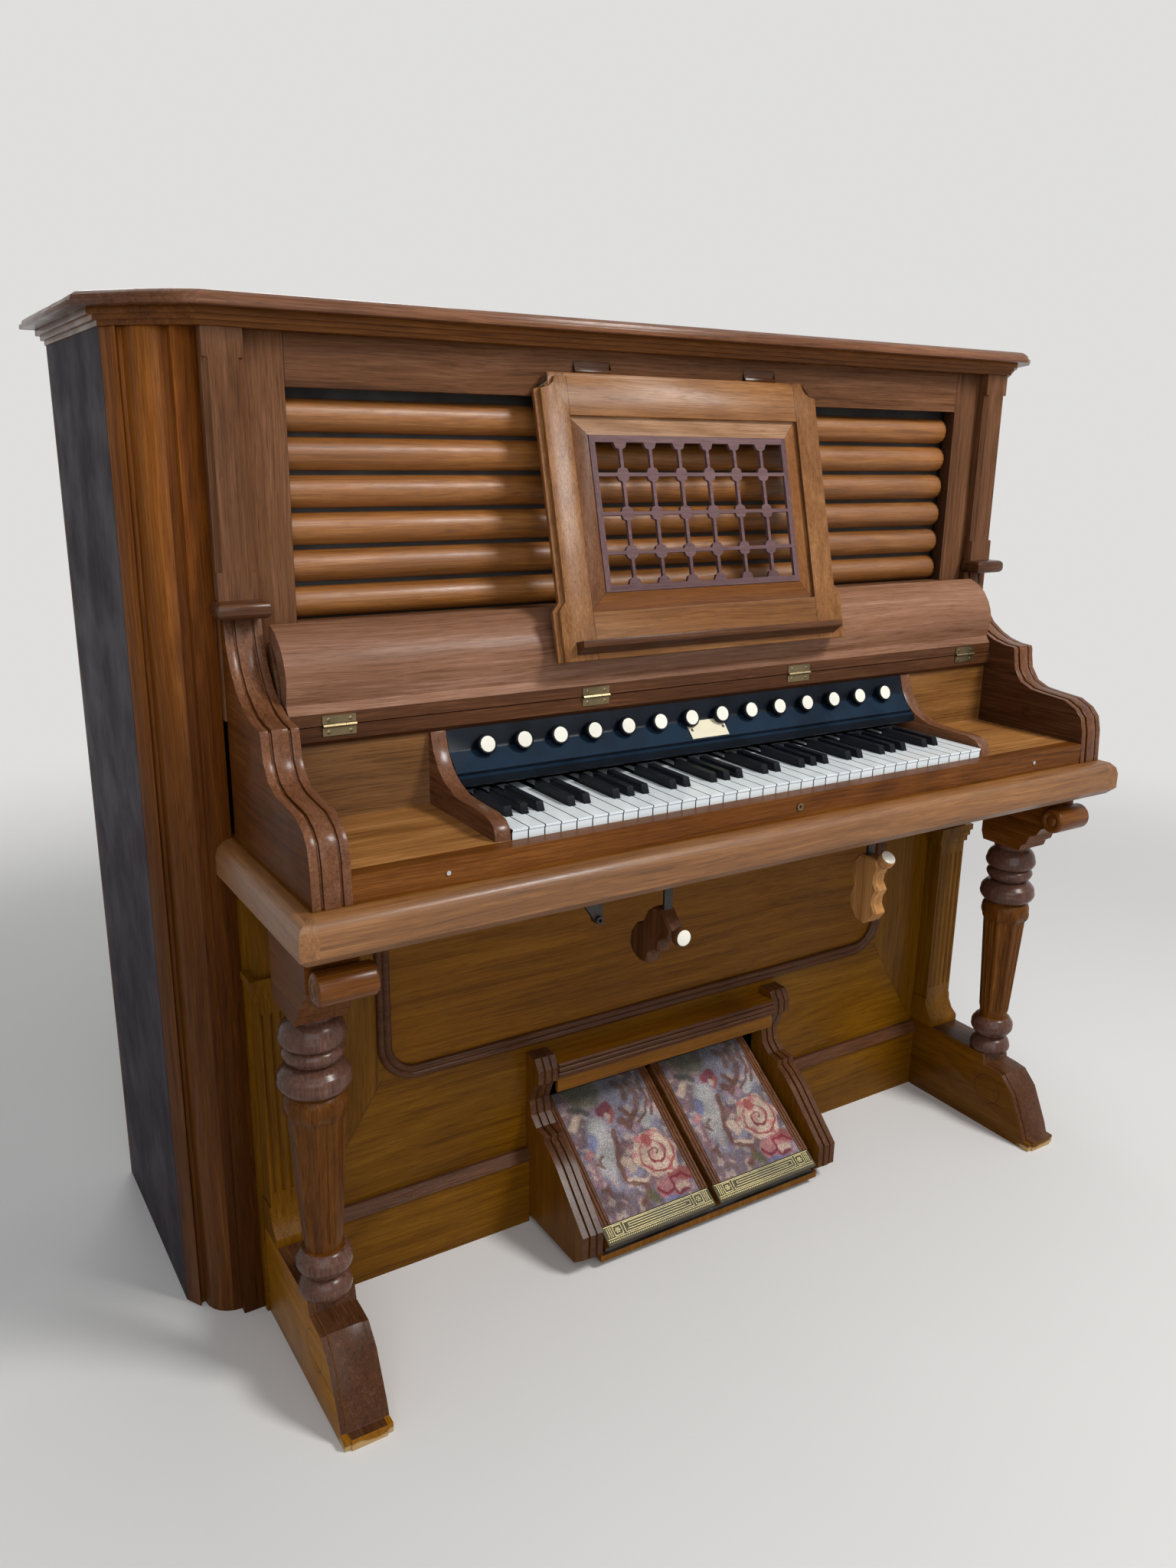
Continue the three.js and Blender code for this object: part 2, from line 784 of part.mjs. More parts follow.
const eyeIron = () => {
  const low = bedUnder - ironHigh;
  const shape = outline([
    [ironX - ironWide, bedUnder + touch], [ironX, bedUnder + touch], [ironX, low],
    [ironX - eyeRadius * 2, low],
  ]);
  const across = (radius, long) => new THREE.CylinderGeometry(radius, radius, long, trimSides)
    .translate(ironX - eyeRadius, ironY, low);
  return cut(
    join(alongY(shape, ironY - ironThick / 2, ironY + ironThick / 2), across(eyeRadius, ironThick * 2)),
    across(eyeHole, ironThick * 2 + overrun),
  );
};

const bedBoard = box(-postInner, postInner, bedFront, bedBack, bedUnder, bedTop);
add('key_bed', join(
  bedBoard, leverIron(leverLeftX), leverIron(leverRightX), eyeIron(),
), 'walnut');

const nosing = () => {
  const edge = (place, out, sign) => {
    const points = [[place, bedUnder], [place + sign * (out - noseChamfer), bedUnder]];
    points.push([place + sign * out, bedUnder + noseChamfer]);
    for (let k = 0; k <= mouldSegments; k += 1) {
      const angle = Math.PI / 2 * k / mouldSegments;
      points.push([
        place + sign * (out - noseRadius + Math.cos(angle) * noseRadius),
        bedTop - noseRadius + Math.sin(angle) * noseRadius,
      ]);
    }
    points.push([place, bedTop]);
    return points;
  };
  const back = postFront - touch;
  const frontHalf = edge(0, noseOut - bedFront, -1);
  const frontProfile = frontHalf.slice(1, -1);
  const long = alongX(
    [[back, bedUnder], ...frontProfile, [back, bedTop]].reverse(),
    -postInner - noseOut, postInner + noseOut,
  );
  const sideProfile = edge(0, postInner + noseOut, 1).slice(1, -1);
  const across = outline([
    ...sideProfile, ...sideProfile.map(([x, z]) => [-x, z]).reverse(),
  ]);
  const whole = common(long, alongY(across, bedFront - noseOut, back));
  return cut(whole, box(
    -postInner - touch, postInner + touch, bedFront - touch, back + overrun,
    bedUnder - overrun, bedTop + overrun,
  ));
};
add('bed_nosing', nosing(), 'walnut');

// Key slip with its screws and keyhole plate
const slipTrim = (x, radius, out) => new THREE.CylinderGeometry(radius, radius, out * 2, trimSides)
  .translate(x, slipFront, (bedTop + slipTop) / 2);

const keySlip = () => cut(
  join(
    box(-armInner, armInner, slipFront, slipFront + slipThick, bedTop, slipTop),
    slipTrim(screwPlace, screwRadius, screwOut), slipTrim(-screwPlace, screwRadius, screwOut),
    slipTrim(escutcheonX, escutcheonRadius, screwOut),
  ),
  slipTrim(escutcheonX, escutcheonHole, screwOut * 2),
);
add('key_slip', keySlip(), 'walnut');

// Key blocks: a flat block, an upright board behind it and the cheek beside the keys
const keyBlock = () => {
  const back = wellBoardY + wellBoardThick;
  const cheekOuter = blockInner + cheekThick;
  return join(
    box(blockInner, armInner, slipFront + slipThick, back, bedTop, slipTop),
    box(cheekOuter - touch, armInner, wellBoardY, back, slipTop - touch, railUnder),
    box(blockInner, cheekOuter, cheekDeep - touch, back, slipTop - touch, railUnder),
    alongX(
      placed(cheekShares, 0, slipTop - touch, cheekDeep, railUnder - slipTop + touch),
      blockInner, cheekOuter,
    ),
  );
};
addPair('key_block', keyBlock(), 'walnut');

// Butt hinges of the fallboard
const hingePlaces = hingePlaceShares.map((share) => share * fallHalf);
const hingeSet = (make) => hingePlaces.flatMap((x) => [make(x), make(-x)]);

const fixedLeaf = (x) => {
  const half = hingeWide / 2;
  const knuckle = hingeWide * knuckleShare / 2 + runGap;
  const front = railY - hingeThick;
  const plate = box(x - half, x + half, front, railY + touch, hingeZ - hingeLeaf, hingeZ - hingeBarrel);
  const side = (x0, x1) => join(
    box(x0, x1, front, railY, hingeZ - hingeLeaf, hingeZ),
    rodX(hingeBarrel, x0, x1, hingeY, hingeZ, hingeSides),
  );
  return join(plate, side(x - half, x - knuckle), side(x + knuckle, x + half));
};

const movingLeaf = (x) => {
  const half = hingeWide / 2;
  const knuckle = hingeWide * knuckleShare / 2;
  const front = railY - hingeThick;
  return join(
    box(x - half, x + half, front, railY + touch, hingeZ + hingeBarrel, hingeZ + hingeLeaf),
    box(x - knuckle, x + knuckle, front, railY, hingeZ, hingeZ + hingeLeaf),
    rodX(hingeBarrel, x - knuckle, x + knuckle, hingeY, hingeZ, hingeSides),
  );
};

// Hinge rail with its shelf and the lower hinge leaves
const railBoard = () => alongX([
  [railY, railTop], [railY, railUnder + railCove], [railY + railCove, railUnder],
  [faceY, railUnder], [faceY, railTop],
], -armInner, armInner);
add('hinge_rail', join(railBoard(), ...hingeSet(fixedLeaf)), 'walnut');

// Stop board with a hole for each stem, and the stops
const stopPlaces = Array.from({ length: stopCount }, (unused, i) => (i - (stopCount - 1) / 2) * stopPitch);
const stopFace = new THREE.Vector3(0, stopY, keyTop + stopRise);

const onStopAxis = (geometry, x) => geometry
  .rotateX(Math.PI / 2 - stopTilt)
  .translate(x, stopFace.y, stopFace.z);

// Bare plate lying on the slanted ledge of the stop board
const namePlate = () => {
  const foot = keyTop + stopBoardRise;
  const run = placed(stopBoardShares, stopBoardY, foot, stopBoardDeep, railUnder - foot);
  const [upper, lower] = [run[plateEdgeCount], run[plateEdgeCount + 1]];
  const up = new THREE.Vector2(upper[0] - lower[0], upper[1] - lower[1]).normalize();
  const along = (distance, lift) => [
    lower[0] + up.x * distance - up.y * lift, lower[1] + up.y * distance + up.x * lift,
  ];
  const end = plateAlong + plateHigh;
  return alongX([
    along(plateAlong, -touch), along(end, -touch), along(end, plateThick), along(plateAlong, plateThick),
  ], -plateHalf, plateHalf);
};

const stopBoard = () => {
  const foot = keyTop + stopBoardRise;
  const board = alongX(
    placed(stopBoardShares, stopBoardY, foot, stopBoardDeep, railUnder - foot), -keyHalf, keyHalf,
  );
  const holes = stopPlaces.map((x) => onStopAxis(
    rod(stemHole, drillLong, stopSides).translate(0, 0, -drillLong / 2), x,
  ));
  return join(cut(board, ...holes), namePlate());
};
add('stop_board', stopBoard(), 'black');

const knob = () => {
  const rim = knobRadius - knobRim;
  return turned([
    [0, -stemLength], [stemRadius, -stemLength], [stemRadius, knobBack], [knobRadius, knobBack],
    [knobRadius, knobLength - knobRim], [rim, knobLength], [0, knobLength],
  ], stopSides);
};
stopPlaces.forEach((x, i) => {
  add(`stop_${i + 1}`, onStopAxis(knob(), x), 'ebony');
});

// Fallboard, opened back, with the barrel that its folding leaf turns on
const fallboard = () => {
  const foot = railTop + touch;
  const front = placed(fallShares, railY, foot, fallDeep, fallHigh);
  const back = placed(fallBackShares, railY, foot, fallDeep, fallHigh);
  const barrel = rodX(
    leafBarrel, -fallHalf, fallHalf, hingeY + leafHingeOut, hingeZ + leafHingeUp, hingeSides,
  );
  return join(
    alongX([...front, ...back], -fallHalf, fallHalf), barrel, ...hingeSet(movingLeaf),
  );
};
add('fallboard', fallboard(), 'rose');

const foldingLeaf = () => {
  const start = leafBarrel + runGap;
  const section = [
    [0, -start], [0, -leafLong], [leafLip, -leafLong], [leafLip, -leafLong + leafLipThick],
    [leafThick, -leafLong + leafLipThick], [leafThick, -start],
  ];
  return alongX(section, -fallHalf, fallHalf)
    .rotateX(-leafHang)
    .translate(0, hingeY + leafHingeOut, hingeZ + leafHingeUp);
};
add('fallboard_leaf', foldingLeaf(), 'rose');

// Music desk, made along its own height from the hinge at the top and then leaned back
const leanDesk = (geometry) => geometry.rotateX(-deskLean).translate(0, ...deskPivot);
const deskHead = -deskHinge - runGap;
const deskFoot = deskHead - deskTall;

const deskOutline = (reduce) => {
  const top = deskHead - reduce;
  const shoulder = deskHead - deskNotch;
  const half = deskHalf - reduce;
  const head = half - deskNotch;
  const footTop = deskFoot + deskFootTall;
  const footHalf = deskFootHalf - reduce;
  const cove = [];
  for (let k = 0; k <= mouldSegments; k += 1) {
    const angle = Math.PI / 2 * k / mouldSegments;
    cove.push([half - Math.sin(angle) * deskNotch, top - Math.cos(angle) * (top - shoulder)]);
  }
  const right = [
    [footHalf, deskFoot], [footHalf, footTop - deskNotch / 2], [half, footTop],
    ...cove, [head, top],
  ];
  const left = right.map(([x, z]) => [-x, z]).reverse();
  return [...right.slice(0, -1), ...left.slice(1)];
};

const opening = (half, low, high) => box(
  -half, half, -deskThick - deskRaise - overrun, overrun, low, high,
);

const musicDesk = () => {
  const low = deskFoot + deskOpenFoot;
  const high = low + deskOpenTall;
  const panelHalf = deskOpenHalf + deskRaiseWide;
  const back = cut(
    alongY(outline(deskOutline(0)), -deskThick + deskEdge, 0),
    opening(panelHalf, low - deskRaiseWide, high + deskRaiseWide),
  );
  const frame = cut(
    alongY(outline(deskOutline(deskEdge)), -deskThick, -deskThick + deskEdge),
    opening(panelHalf, low - deskRaiseWide, high + deskRaiseWide),
  );
  const panelShape = outline([
    [-panelHalf, low - deskRaiseWide], [panelHalf, low - deskRaiseWide],
    [panelHalf, high + deskRaiseWide], [-panelHalf, high + deskRaiseWide],
  ]);
  const raised = new THREE.ExtrudeGeometry(panelShape, {
    depth: deskEdge, bevelThickness: deskRaise, bevelSize: deskRaiseWide, bevelOffset: -deskRaiseWide,
    bevelSegments: 1,
  }).applyMatrix4(axes([1, 0, 0], [0, 0, 1], [0, -1, 0]));
  const panelBody = common(
    raised, box(-panelHalf, panelHalf, -deskThick, 0, low - deskTall, high + deskTall),
  );
  const panel = cut(panelBody, opening(deskOpenHalf, low, high));
  const ledgeLow = deskFoot + ledgeFoot;
  const ledge = alongX([
    [-deskThick + touch, ledgeLow], [-deskThick - ledgeOut, ledgeLow + ledgeTall / 2],
    [-deskThick - ledgeOut, ledgeLow + ledgeTall], [-deskThick + touch, ledgeLow + ledgeTall],
  ], -ledgeHalf, ledgeHalf);
  return leanDesk(join(back, frame, panel, ledge));
};
add('music_desk', musicDesk(), 'walnut');

const lattice = () => {
  const low = deskFoot + deskOpenFoot;
  const shapes = [];
  const y0 = -deskThick + latticeSunk;
  const y1 = y0 + latticeThick;
  const post = latticeBar / 2;
  const outer = deskOpenHalf - seatGap;
  const bottom = low + seatGap;
  const top = low + deskOpenTall - seatGap;
  const inner = outer - latticeRim;
  shapes.push(cut(
    box(-outer, outer, y0, y1, bottom, top),
    box(-inner, inner, y0 - overrun, y1 + overrun, bottom + latticeRim, top - latticeRim),
  ));
  const disc = (x, z) => new THREE.CylinderGeometry(latticeDisc, latticeDisc, latticeThick, latticeSides)
    .translate(x, (y0 + y1) / 2, z);
  const stepX = deskOpenHalf * 2 / (latticeColumns + 1);
  const stepZ = deskOpenTall / (latticeRows + 1);
  for (let i = 1; i <= latticeColumns; i += 1) {
    const x = -deskOpenHalf + i * stepX;
    shapes.push(box(x - post, x + post, y0, y1, bottom, top));
    for (let k = 1; k <= latticeRows; k += 1) {
      shapes.push(disc(x, low + k * stepZ));
    }
    const halfDiscs = join(disc(x, bottom + latticeRim), disc(x, top - latticeRim));
    shapes.push(common(halfDiscs, box(-outer, outer, y0, y1, bottom, top)));
  }
  for (let k = 1; k <= latticeRows; k += 1) {
    const z = low + k * stepZ;
    shapes.push(box(-outer, outer, y0, y1, z - post, z + post));
  }
  return leanDesk(join(...shapes));
};
add('desk_lattice', lattice(), 'rose');

// Brackets under the key bed, joined with their rolls
const roll = () => {
  const z = keyTop - rollDrop;
  const y = bracketFront + rollRadius * rollTuckShare - rollRadius;
  const x0 = bracketInner - rollPast;
  const end = rollShares.map(([r, t]) => [r * rollRadius, t * rollEye]);
  const far = end.map(([r, t]) => [r, rollLong - t]).reverse();
  return turned([...end, ...far], rollSides)
    .rotateY(Math.PI / 2).translate(x0, y, z);
};

const bracket = () => join(
  alongX(
    placed(bracketShares, bracketFront, bracketUnder, bracketDeep, bracketHigh),
    bracketInner, bracketInner + bracketWide,
  ),
  roll(),
);
addPair('bracket', bracket(), 'walnut');

// Columns: turned, with flutes cut into the tapered shaft
const column = () => {
  const high = bracketUnder - footHigh;
  const body = turned(columnShares.map(([r, z]) => [r * columnRadius, z * high]), columnSides);
  const foot = fluteFootShare * high;
  const long = (fluteTopShare - fluteFootShare) * high;
  const footReach = fluteFootReachShare * columnRadius;
  const lean = Math.atan2((fluteTopReachShare - fluteFootReachShare) * columnRadius, long);
  const flutes = [];
  for (let i = 0; i < fluteCount; i += 1) {
    flutes.push(rod(fluteRadiusShare * columnRadius, long, fluteSides)
      .rotateY(lean)
      .translate(footReach, 0, foot)
      .rotateZ(Math.PI * 2 * i / fluteCount));
  }
  return moved(cut(body, ...flutes), columnX, columnY, footHigh);
};
addPair('column', column(), 'walnut');

// Feet
const foot = () => {
  const points = placed(footShares, footFront, 0, kneeY - footFront, footHigh);
  const run = points.slice(1, -1);
  return layered(run, [points.at(-1), points[0]], footInner, footWide, footLayerShares, footEdge);
};
addPair('foot', foot(), 'walnut');

// Rear pilasters of the knee panel: moulded foot, fluted shaft, stepped cap and a plain block
const rearPilaster = () => {
  const front = kneeY - rearOut;
  const outer = footInner + footWide;
  const footTop = footHigh + rearFootHigh;
  const capTop = keyTop - rearCapDrop + rearCapHigh;
  const capFoot = keyTop - rearCapDrop;
  const base = alongX([
    [kneeY, footHigh + rearFootHigh],
    ...rearShares.map(([out, high]) => [front - out * rearFootOut, footHigh + high * rearFootHigh]),
    [kneeY, footHigh],
  ], footInner, outer);
  const shaft = box(footInner + rearInset, outer - rearInset, front, kneeY, footTop, capFoot);
  const fluteStep = (footWide - rearInset * 2) / rearFluteCount;
  const flutes = Array.from({ length: rearFluteCount }, (unused, i) => rod(
    rearFluteRadius, capFoot - footTop - rearFluteStop * 2, rearFluteSides,
  ).translate(
    footInner + rearInset + fluteStep * (i + 1 / 2), front, footTop + rearFluteStop,
  ));
  const steps = [];
  for (let k = 0; k < rearCapCount; k += 1) {
    const out = rearCapOut * (k + 1);
    const z = capFoot + rearCapHigh * k / rearCapCount;
    steps.push(box(footInner - out, outer + out, front - out, kneeY, z, capTop));
  }
  const block = box(footInner + rearInset, outer - rearInset, front, kneeY, capTop - touch, bedUnder);
  return join(base, cut(shaft, ...flutes), ...steps, block);
};

// Knee panel with its rounded moulding, and the opening for the treadles
const roundedPlan = (reduce) => {
  const half = mouldHalf - reduce;
  const low = mouldFoot + reduce;
  const high = mouldTop - reduce;
  const radius = mouldRadius - reduce;
  const plan = new THREE.Shape();
  plan.moveTo(-half + radius, low);
  plan.absarc(half - radius, low + radius, radius, -Math.PI / 2, 0, false);
  plan.absarc(half - radius, high - radius, radius, 0, Math.PI / 2, false);
  plan.absarc(-half + radius, high - radius, radius, Math.PI / 2, Math.PI, false);
  plan.absarc(-half + radius, low + radius, radius, Math.PI, Math.PI * 3 / 2, false);
  return plan;
};

const mouldingRing = (start, wide, thick) => {
  const outer = alongY(roundedPlan(start), kneeY - thick, kneeY + touch);
  const inner = alongY(roundedPlan(start + wide), kneeY - thick - overrun, kneeY + overrun);
  return cut(outer, inner);
};

const plinthSide = () => {
  const front = kneeY - plinthOut;
  const railFront = front - plinthRailOut;
  const railFoot = plinthHigh - plinthRailOut;
  const railHead = plinthHigh + plinthRailHigh;
  return join(
    box(boxHalf - boxCheek, postInner, kneeY, kneeY + kneeThick, 0, plinthHigh + touch),
    box(boxHalf, footInner, front, kneeY + touch, 0, plinthHigh),
    alongX([
      [kneeY + touch, railHead], [kneeY - plinthRailOut, railHead], [railFront, plinthHigh],
      [front, railFoot], [kneeY + touch, railFoot],
    ], boxHalf, footInner),
  );
};

const kneePanel = () => {
  const board = box(-postInner, postInner, kneeY, kneeY + kneeThick, plinthHigh, bedUnder);
  const inner = boxHalf - boxCheek;
  const gate = box(-inner, inner, kneeY - overrun, kneeY + kneeThick + overrun, 0, openingTop);
  return join(
    cut(board, gate),
    mouldingRing(0, mouldBeadWide, mouldBead),
    mouldingRing(mouldWide - mouldBeadWide, mouldBeadWide, mouldBead),
    ...pair(plinthSide()),
    ...pair(rearPilaster()),
  );
};
add('knee_panel', kneePanel(), 'walnut');

// Pedal box with the barrels that the treadles turn on
const pedalBox = () => {
  const deep = kneeY - boxFront;
  const points = placed(boxShares, boxFront, boxFoot, deep, boxHigh);
  const inner = boxHalf - boxCheek;
  const back = [[kneeY, boxFoot + boxHigh], [kneeY, boxFoot]];
  const cheekBoard = layered(points, back, inner, boxCheek, boxLayerShares, boxEdge);
  const floorTop = boxFoot + boxFloorThick;
  const floor = box(-inner - touch, inner + touch, treadleY - boxFloorOut, kneeY, boxFoot, floorTop);
  const ledgeTop = openingTop + boxLedgeThick;
  const ledge = alongX([
    [kneeY, ledgeTop], [kneeY - boxLedgeDeep, ledgeTop], [kneeY - boxLedgeDeep, ledgeTop - boxLedgeBead],
    [kneeY - boxLedgeDeep + boxLedgeBead, ledgeTop - boxLedgeBead * 2],
    [kneeY - boxLedgeDeep + boxLedgeBead, openingTop + boxLedgeBead],
    [kneeY - boxLedgeDeep + boxLedgeBead * 2, openingTop], [kneeY, openingTop],
  ], -inner - touch, inner + touch);
  const barrel = rodX(
    treadleBarrel, -treadleOuter, treadleOuter, treadleY, boxFoot + boxFloorThick + treadleBarrel, hingeSides,
  );
  const feetBlock = box(
    -treadleOuter, treadleOuter, treadleY - treadleBarrel / 2, treadleY + treadleBarrel / 2,
    boxFoot + boxFloorThick - touch, boxFoot + boxFloorThick + treadleBarrel,
  );
  return join(...pair(cheekBoard), floor, ledge, barrel, feetBlock);
};
add('pedal_box', pedalBox(), 'walnut');

// Treadles, made along their own length from the barrel and then tilted
const treadleZ = boxFoot + boxFloorThick + treadleBarrel;
const tilted = (geometry) => geometry.rotateX(treadleSlope).translate(0, treadleY, treadleZ);
const boardFoot = treadleBarrel + runGap;
const boardTop = boardFoot + treadleThick;

const reededStrip = (x0, x1) => {
  const shape = new THREE.Shape();
  const step = (x1 - x0) / reedCount;
  const low = boardTop + stripThick - step / 2;
  shape.moveTo(x0, boardTop - touch);
  shape.lineTo(x1, boardTop - touch);
  for (let i = 0; i < reedCount; i += 1) {
    shape.absarc(x1 - step * (i + 1 / 2), low, step / 2, 0, Math.PI, false);
  }
  return slab(shape, treadleLong - heelLong, reedArc)
    .applyMatrix4(axes([1, 0, 0], [0, 0, 1], [0, -1, 0])).translate(0, treadleLong, 0);
};

const treadle = () => join(
  box(treadleMiddle, treadleOuter, 0, treadleLong, boardFoot, boardTop),
  reededStrip(treadleMiddle, treadleMiddle + stripWide),
  reededStrip(treadleOuter - stripWide, treadleOuter),
  box(
    treadleMiddle + stripWide - touch, treadleOuter - stripWide + touch, heelLong, treadleLong,
    boardTop - touch, boardTop + carpetThick,
  ),
  box(treadleMiddle, treadleOuter, -heelThick, heelLong, boardTop - touch, boardTop + heelThick),
  box(treadleMiddle, treadleOuter, -heelThick, touch, boardTop - heelLip, boardTop + heelThick),
);
addPair('treadle', tilted(treadle()), 'walnut');

// Knee levers: a pin, an iron strap, a shaped wooden paddle and a round boss
const bossKnob = () => turned([
  [0, 0], [bossNeck, 0], [bossNeck, bossNeckLong], [bossRadius, bossNeckLong + bossRim],
  [bossRadius, bossLong - bossRim], [bossRadius - bossRim, bossLong], [0, bossLong],
], bossSides);

const lever = (x, armLong, tilt) => {
  const paddle = new THREE.ExtrudeGeometry(outline(
    placed(paddleShares, -paddleDeep * paddleHangShare, paddleAbove - paddleHigh, paddleDeep, paddleHigh),
  ), {
    depth: paddleThick - paddleEdge * 2, bevelThickness: paddleEdge, bevelSize: paddleEdge,
    bevelOffset: -paddleEdge, bevelSegments: 1,
  }).applyMatrix4(axes([0, 1, 0], [0, 0, 1], [1, 0, 0])).translate(-paddleThick / 2 + paddleEdge, 0, 0);
  const boss = bossKnob().rotateX(Math.PI / 2 - bossTilt)
    .translate(0, -paddleDeep * paddleHangShare + bossIn, paddleAbove - bossDown);
  const hand = join(paddle, boss).rotateX(tilt).translate(0, 0, -armLong);
  const strap = box(
    -leverArmWide / 2, leverArmWide / 2, -leverArmThick / 2, leverArmThick / 2,
    -armLong - leverArmPast, leverHub,
  );
  const hub = rod(leverHub, leverHubLong, hingeSides).rotateX(Math.PI / 2).translate(0, leverHubLong / 2, 0);
  const pin = rod(leverPin, leverPinLong, trimSides).rotateX(Math.PI / 2).translate(0, leverPinLong / 2, 0);
  return moved(join(hand, strap, hub, pin), x, leverY, leverZ);
};
add('knee_lever_left', lever(leverLeftX, leverLeftArm, leverLeftTilt), 'walnut');
add('knee_lever_right', lever(leverRightX, leverRightArm, 0), 'walnut');

// Inside: wind chest between the side panels, with the pleated reservoir under it
const windChest = () => {
  const chestTop = bedUnder - chestDrop;
  const chestFoot = chestTop - chestHigh;
  const back = caseBack - backThick;
  const panTop = chestTop + reedPanHigh;
  const pan = box(-reedPanHalf, reedPanHalf, back - reedPanDeep, back, chestTop - touch, panTop);
  const chest = box(-sideInner, sideInner, postFront + postDeep, back, chestFoot, chestTop);
  const step = reservoirHigh / pleatCount;
  const front = back - chestBackGap - reservoirDeep;
  const right = [[reservoirHalf, chestFoot + touch]];
  for (let i = 0; i < pleatCount; i += 1) {
    right.push([reservoirHalf + pleatDeep, chestFoot - (i + 1 / 2) * step]);
    right.push([reservoirHalf, chestFoot - (i + 1) * step]);
  }
  const left = right.map(([x, z]) => [-x, z]).reverse();
  return join(chest, pan, alongY(outline([...right, ...left]), front, back - chestBackGap));
};
add('wind_chest', windChest(), 'cloth');

const hasSharp = (i) => i >= 0 && i < naturalCount - 1
  && sharpNotes.includes(noteNames[i % noteNames.length]);

// Keys: the naturals count up from F, and the middle octave turns on the key frame
const natural = (i, drop) => {
  const x0 = -keyHalf + i * naturalPitch + keyGap / 2;
  const x1 = x0 + naturalPitch - keyGap;
  const notch = sharpWide / 2 + keyGap / 2;
  const left = hasSharp(i - 1) ? x0 + notch : x0;
  const right = hasSharp(i) ? x1 - notch : x1;
  const split = sharpFront - sharpFrontGap;
  const plan = outline([
    [x0, 0], [x1, 0], [x1, split], [right, split], [right, keyRear], [left, keyRear],
    [left, split], [x0, split],
  ]);
  return join(
    alongZ(plan, keyTop - keyThick - drop, keyTop),
    box(x0, x1, -keyLip, split, keyTop - keyLipThick, keyTop),
  );
};

const sharp = (i, drop) => {
  const middle = -keyHalf + (i + 1) * naturalPitch;
  return alongX([
    [sharpFront, keyTop - keyThick - drop], [sharpFront, keyTop + keyGap],
    [sharpFront + sharpNoseDeep, keyTop + sharpRise], [sharpBack - keyGap, keyTop + sharpRise],
    [sharpBack, keyTop], [keyRear, keyTop], [keyRear, keyTop - keyThick - drop],
  ], middle - sharpWide / 2, middle + sharpWide / 2);
};

const keyFrame = () => {
  const railTopZ = keyTop - keyThick - touch;
  const frontZ = keyTop - keyFrameDrop;
  const end = keyHalf - keyFrameWide;
  return join(
    box(-keyHalf, keyHalf, keyPivotY, keyPivotY + keyFrameWide, bedTop, railTopZ),
    box(-keyHalf, keyHalf, keyFrameWide, keyFrameWide * 2, bedTop, frontZ),
    ...pair(box(end, keyHalf, keyFrameWide, keyPivotY + touch, bedTop, frontZ)),
  );
};

const keyboard = [keyFrame()];
for (let i = 0; i < naturalCount; i += 1) {
  const note = noteNames[i % noteNames.length];
  const turns = i >= turningSkipCount && i < turningSkipCount + noteNames.length;
  if (turns) {
    add(`key_${note}`, natural(i, 0), 'ivory');
  } else {
    keyboard.push(natural(i, touch * 2));
  }
  if (hasSharp(i) && turns) {
    add(`key_${note}_sharp`, sharp(i, 0), 'ebony');
  } else if (hasSharp(i)) {
    keyboard.push(sharp(i, touch * 2));
  }
}
add('keyboard', join(...keyboard), 'ivory');

// The middle of the whole depth becomes zero along Y
const depth = new THREE.Box3().setFromObject(organ);
const depthMiddle = (depth.min.y + depth.max.y) / 2;
organ.children.forEach((mesh) => mesh.geometry.translate(0, -depthMiddle, 0));

export default organ;
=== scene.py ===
"""Looks of the pump organ: woods, metals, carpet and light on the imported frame."""
import math
from collections import namedtuple

import bmesh
import bpy
from mathutils import Matrix, Vector, noise
from mathutils.bvhtree import BVHTree


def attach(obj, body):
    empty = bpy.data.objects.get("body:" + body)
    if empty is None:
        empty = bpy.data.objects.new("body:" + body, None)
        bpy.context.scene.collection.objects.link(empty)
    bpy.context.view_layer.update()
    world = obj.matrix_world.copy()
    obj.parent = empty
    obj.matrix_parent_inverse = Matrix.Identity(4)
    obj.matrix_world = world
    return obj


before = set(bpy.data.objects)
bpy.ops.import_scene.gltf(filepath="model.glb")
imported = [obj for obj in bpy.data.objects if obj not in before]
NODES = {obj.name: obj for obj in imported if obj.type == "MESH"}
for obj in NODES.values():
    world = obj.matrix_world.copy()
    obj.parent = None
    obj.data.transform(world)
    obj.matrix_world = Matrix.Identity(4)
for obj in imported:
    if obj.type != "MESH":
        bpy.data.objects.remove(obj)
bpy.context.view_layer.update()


def back(y):
    """Metres along Y of a place given in millimetres behind the white key fronts."""
    return (y - 337) / 1000


# Places taken over from the solids, in metres
KEY_TOP = 0.772
SIDES = (("left", -1), ("right", 1))
NATURAL_COUNT, NATURAL_PITCH = 36, 0.0234
KEYS_HALF = NATURAL_COUNT * NATURAL_PITCH / 2
BED_UNDER = 0.669
KNEE_Y = back(262)
MOULD_HALF, MOULD_LOW, MOULD_HIGH, MOULD_ROUND = 0.503, 0.315, 0.632, 0.062
STOP_COUNT, STOP_PITCH, STOP_TILT = 14, 0.0568, 0.333
STOP_FACE = Vector((0, back(174.5), KEY_TOP + 0.0623))
KNOB_LONG = 0.0132
TREADLE_Y, TREADLE_Z, TREADLE_SLOPE = back(94), 0.027, 0.611
TREADLE_TOP = 0.0035 + 0.016
TREADLE_IN, TREADLE_OUT, TREADLE_LONG = 0.005, 0.211, 0.256
STRIP_WIDE, HEEL_LONG, HEEL_THICK, HEEL_LIP, CARPET_THICK = 0.017, 0.028, 0.002, 0.0062, 0.004


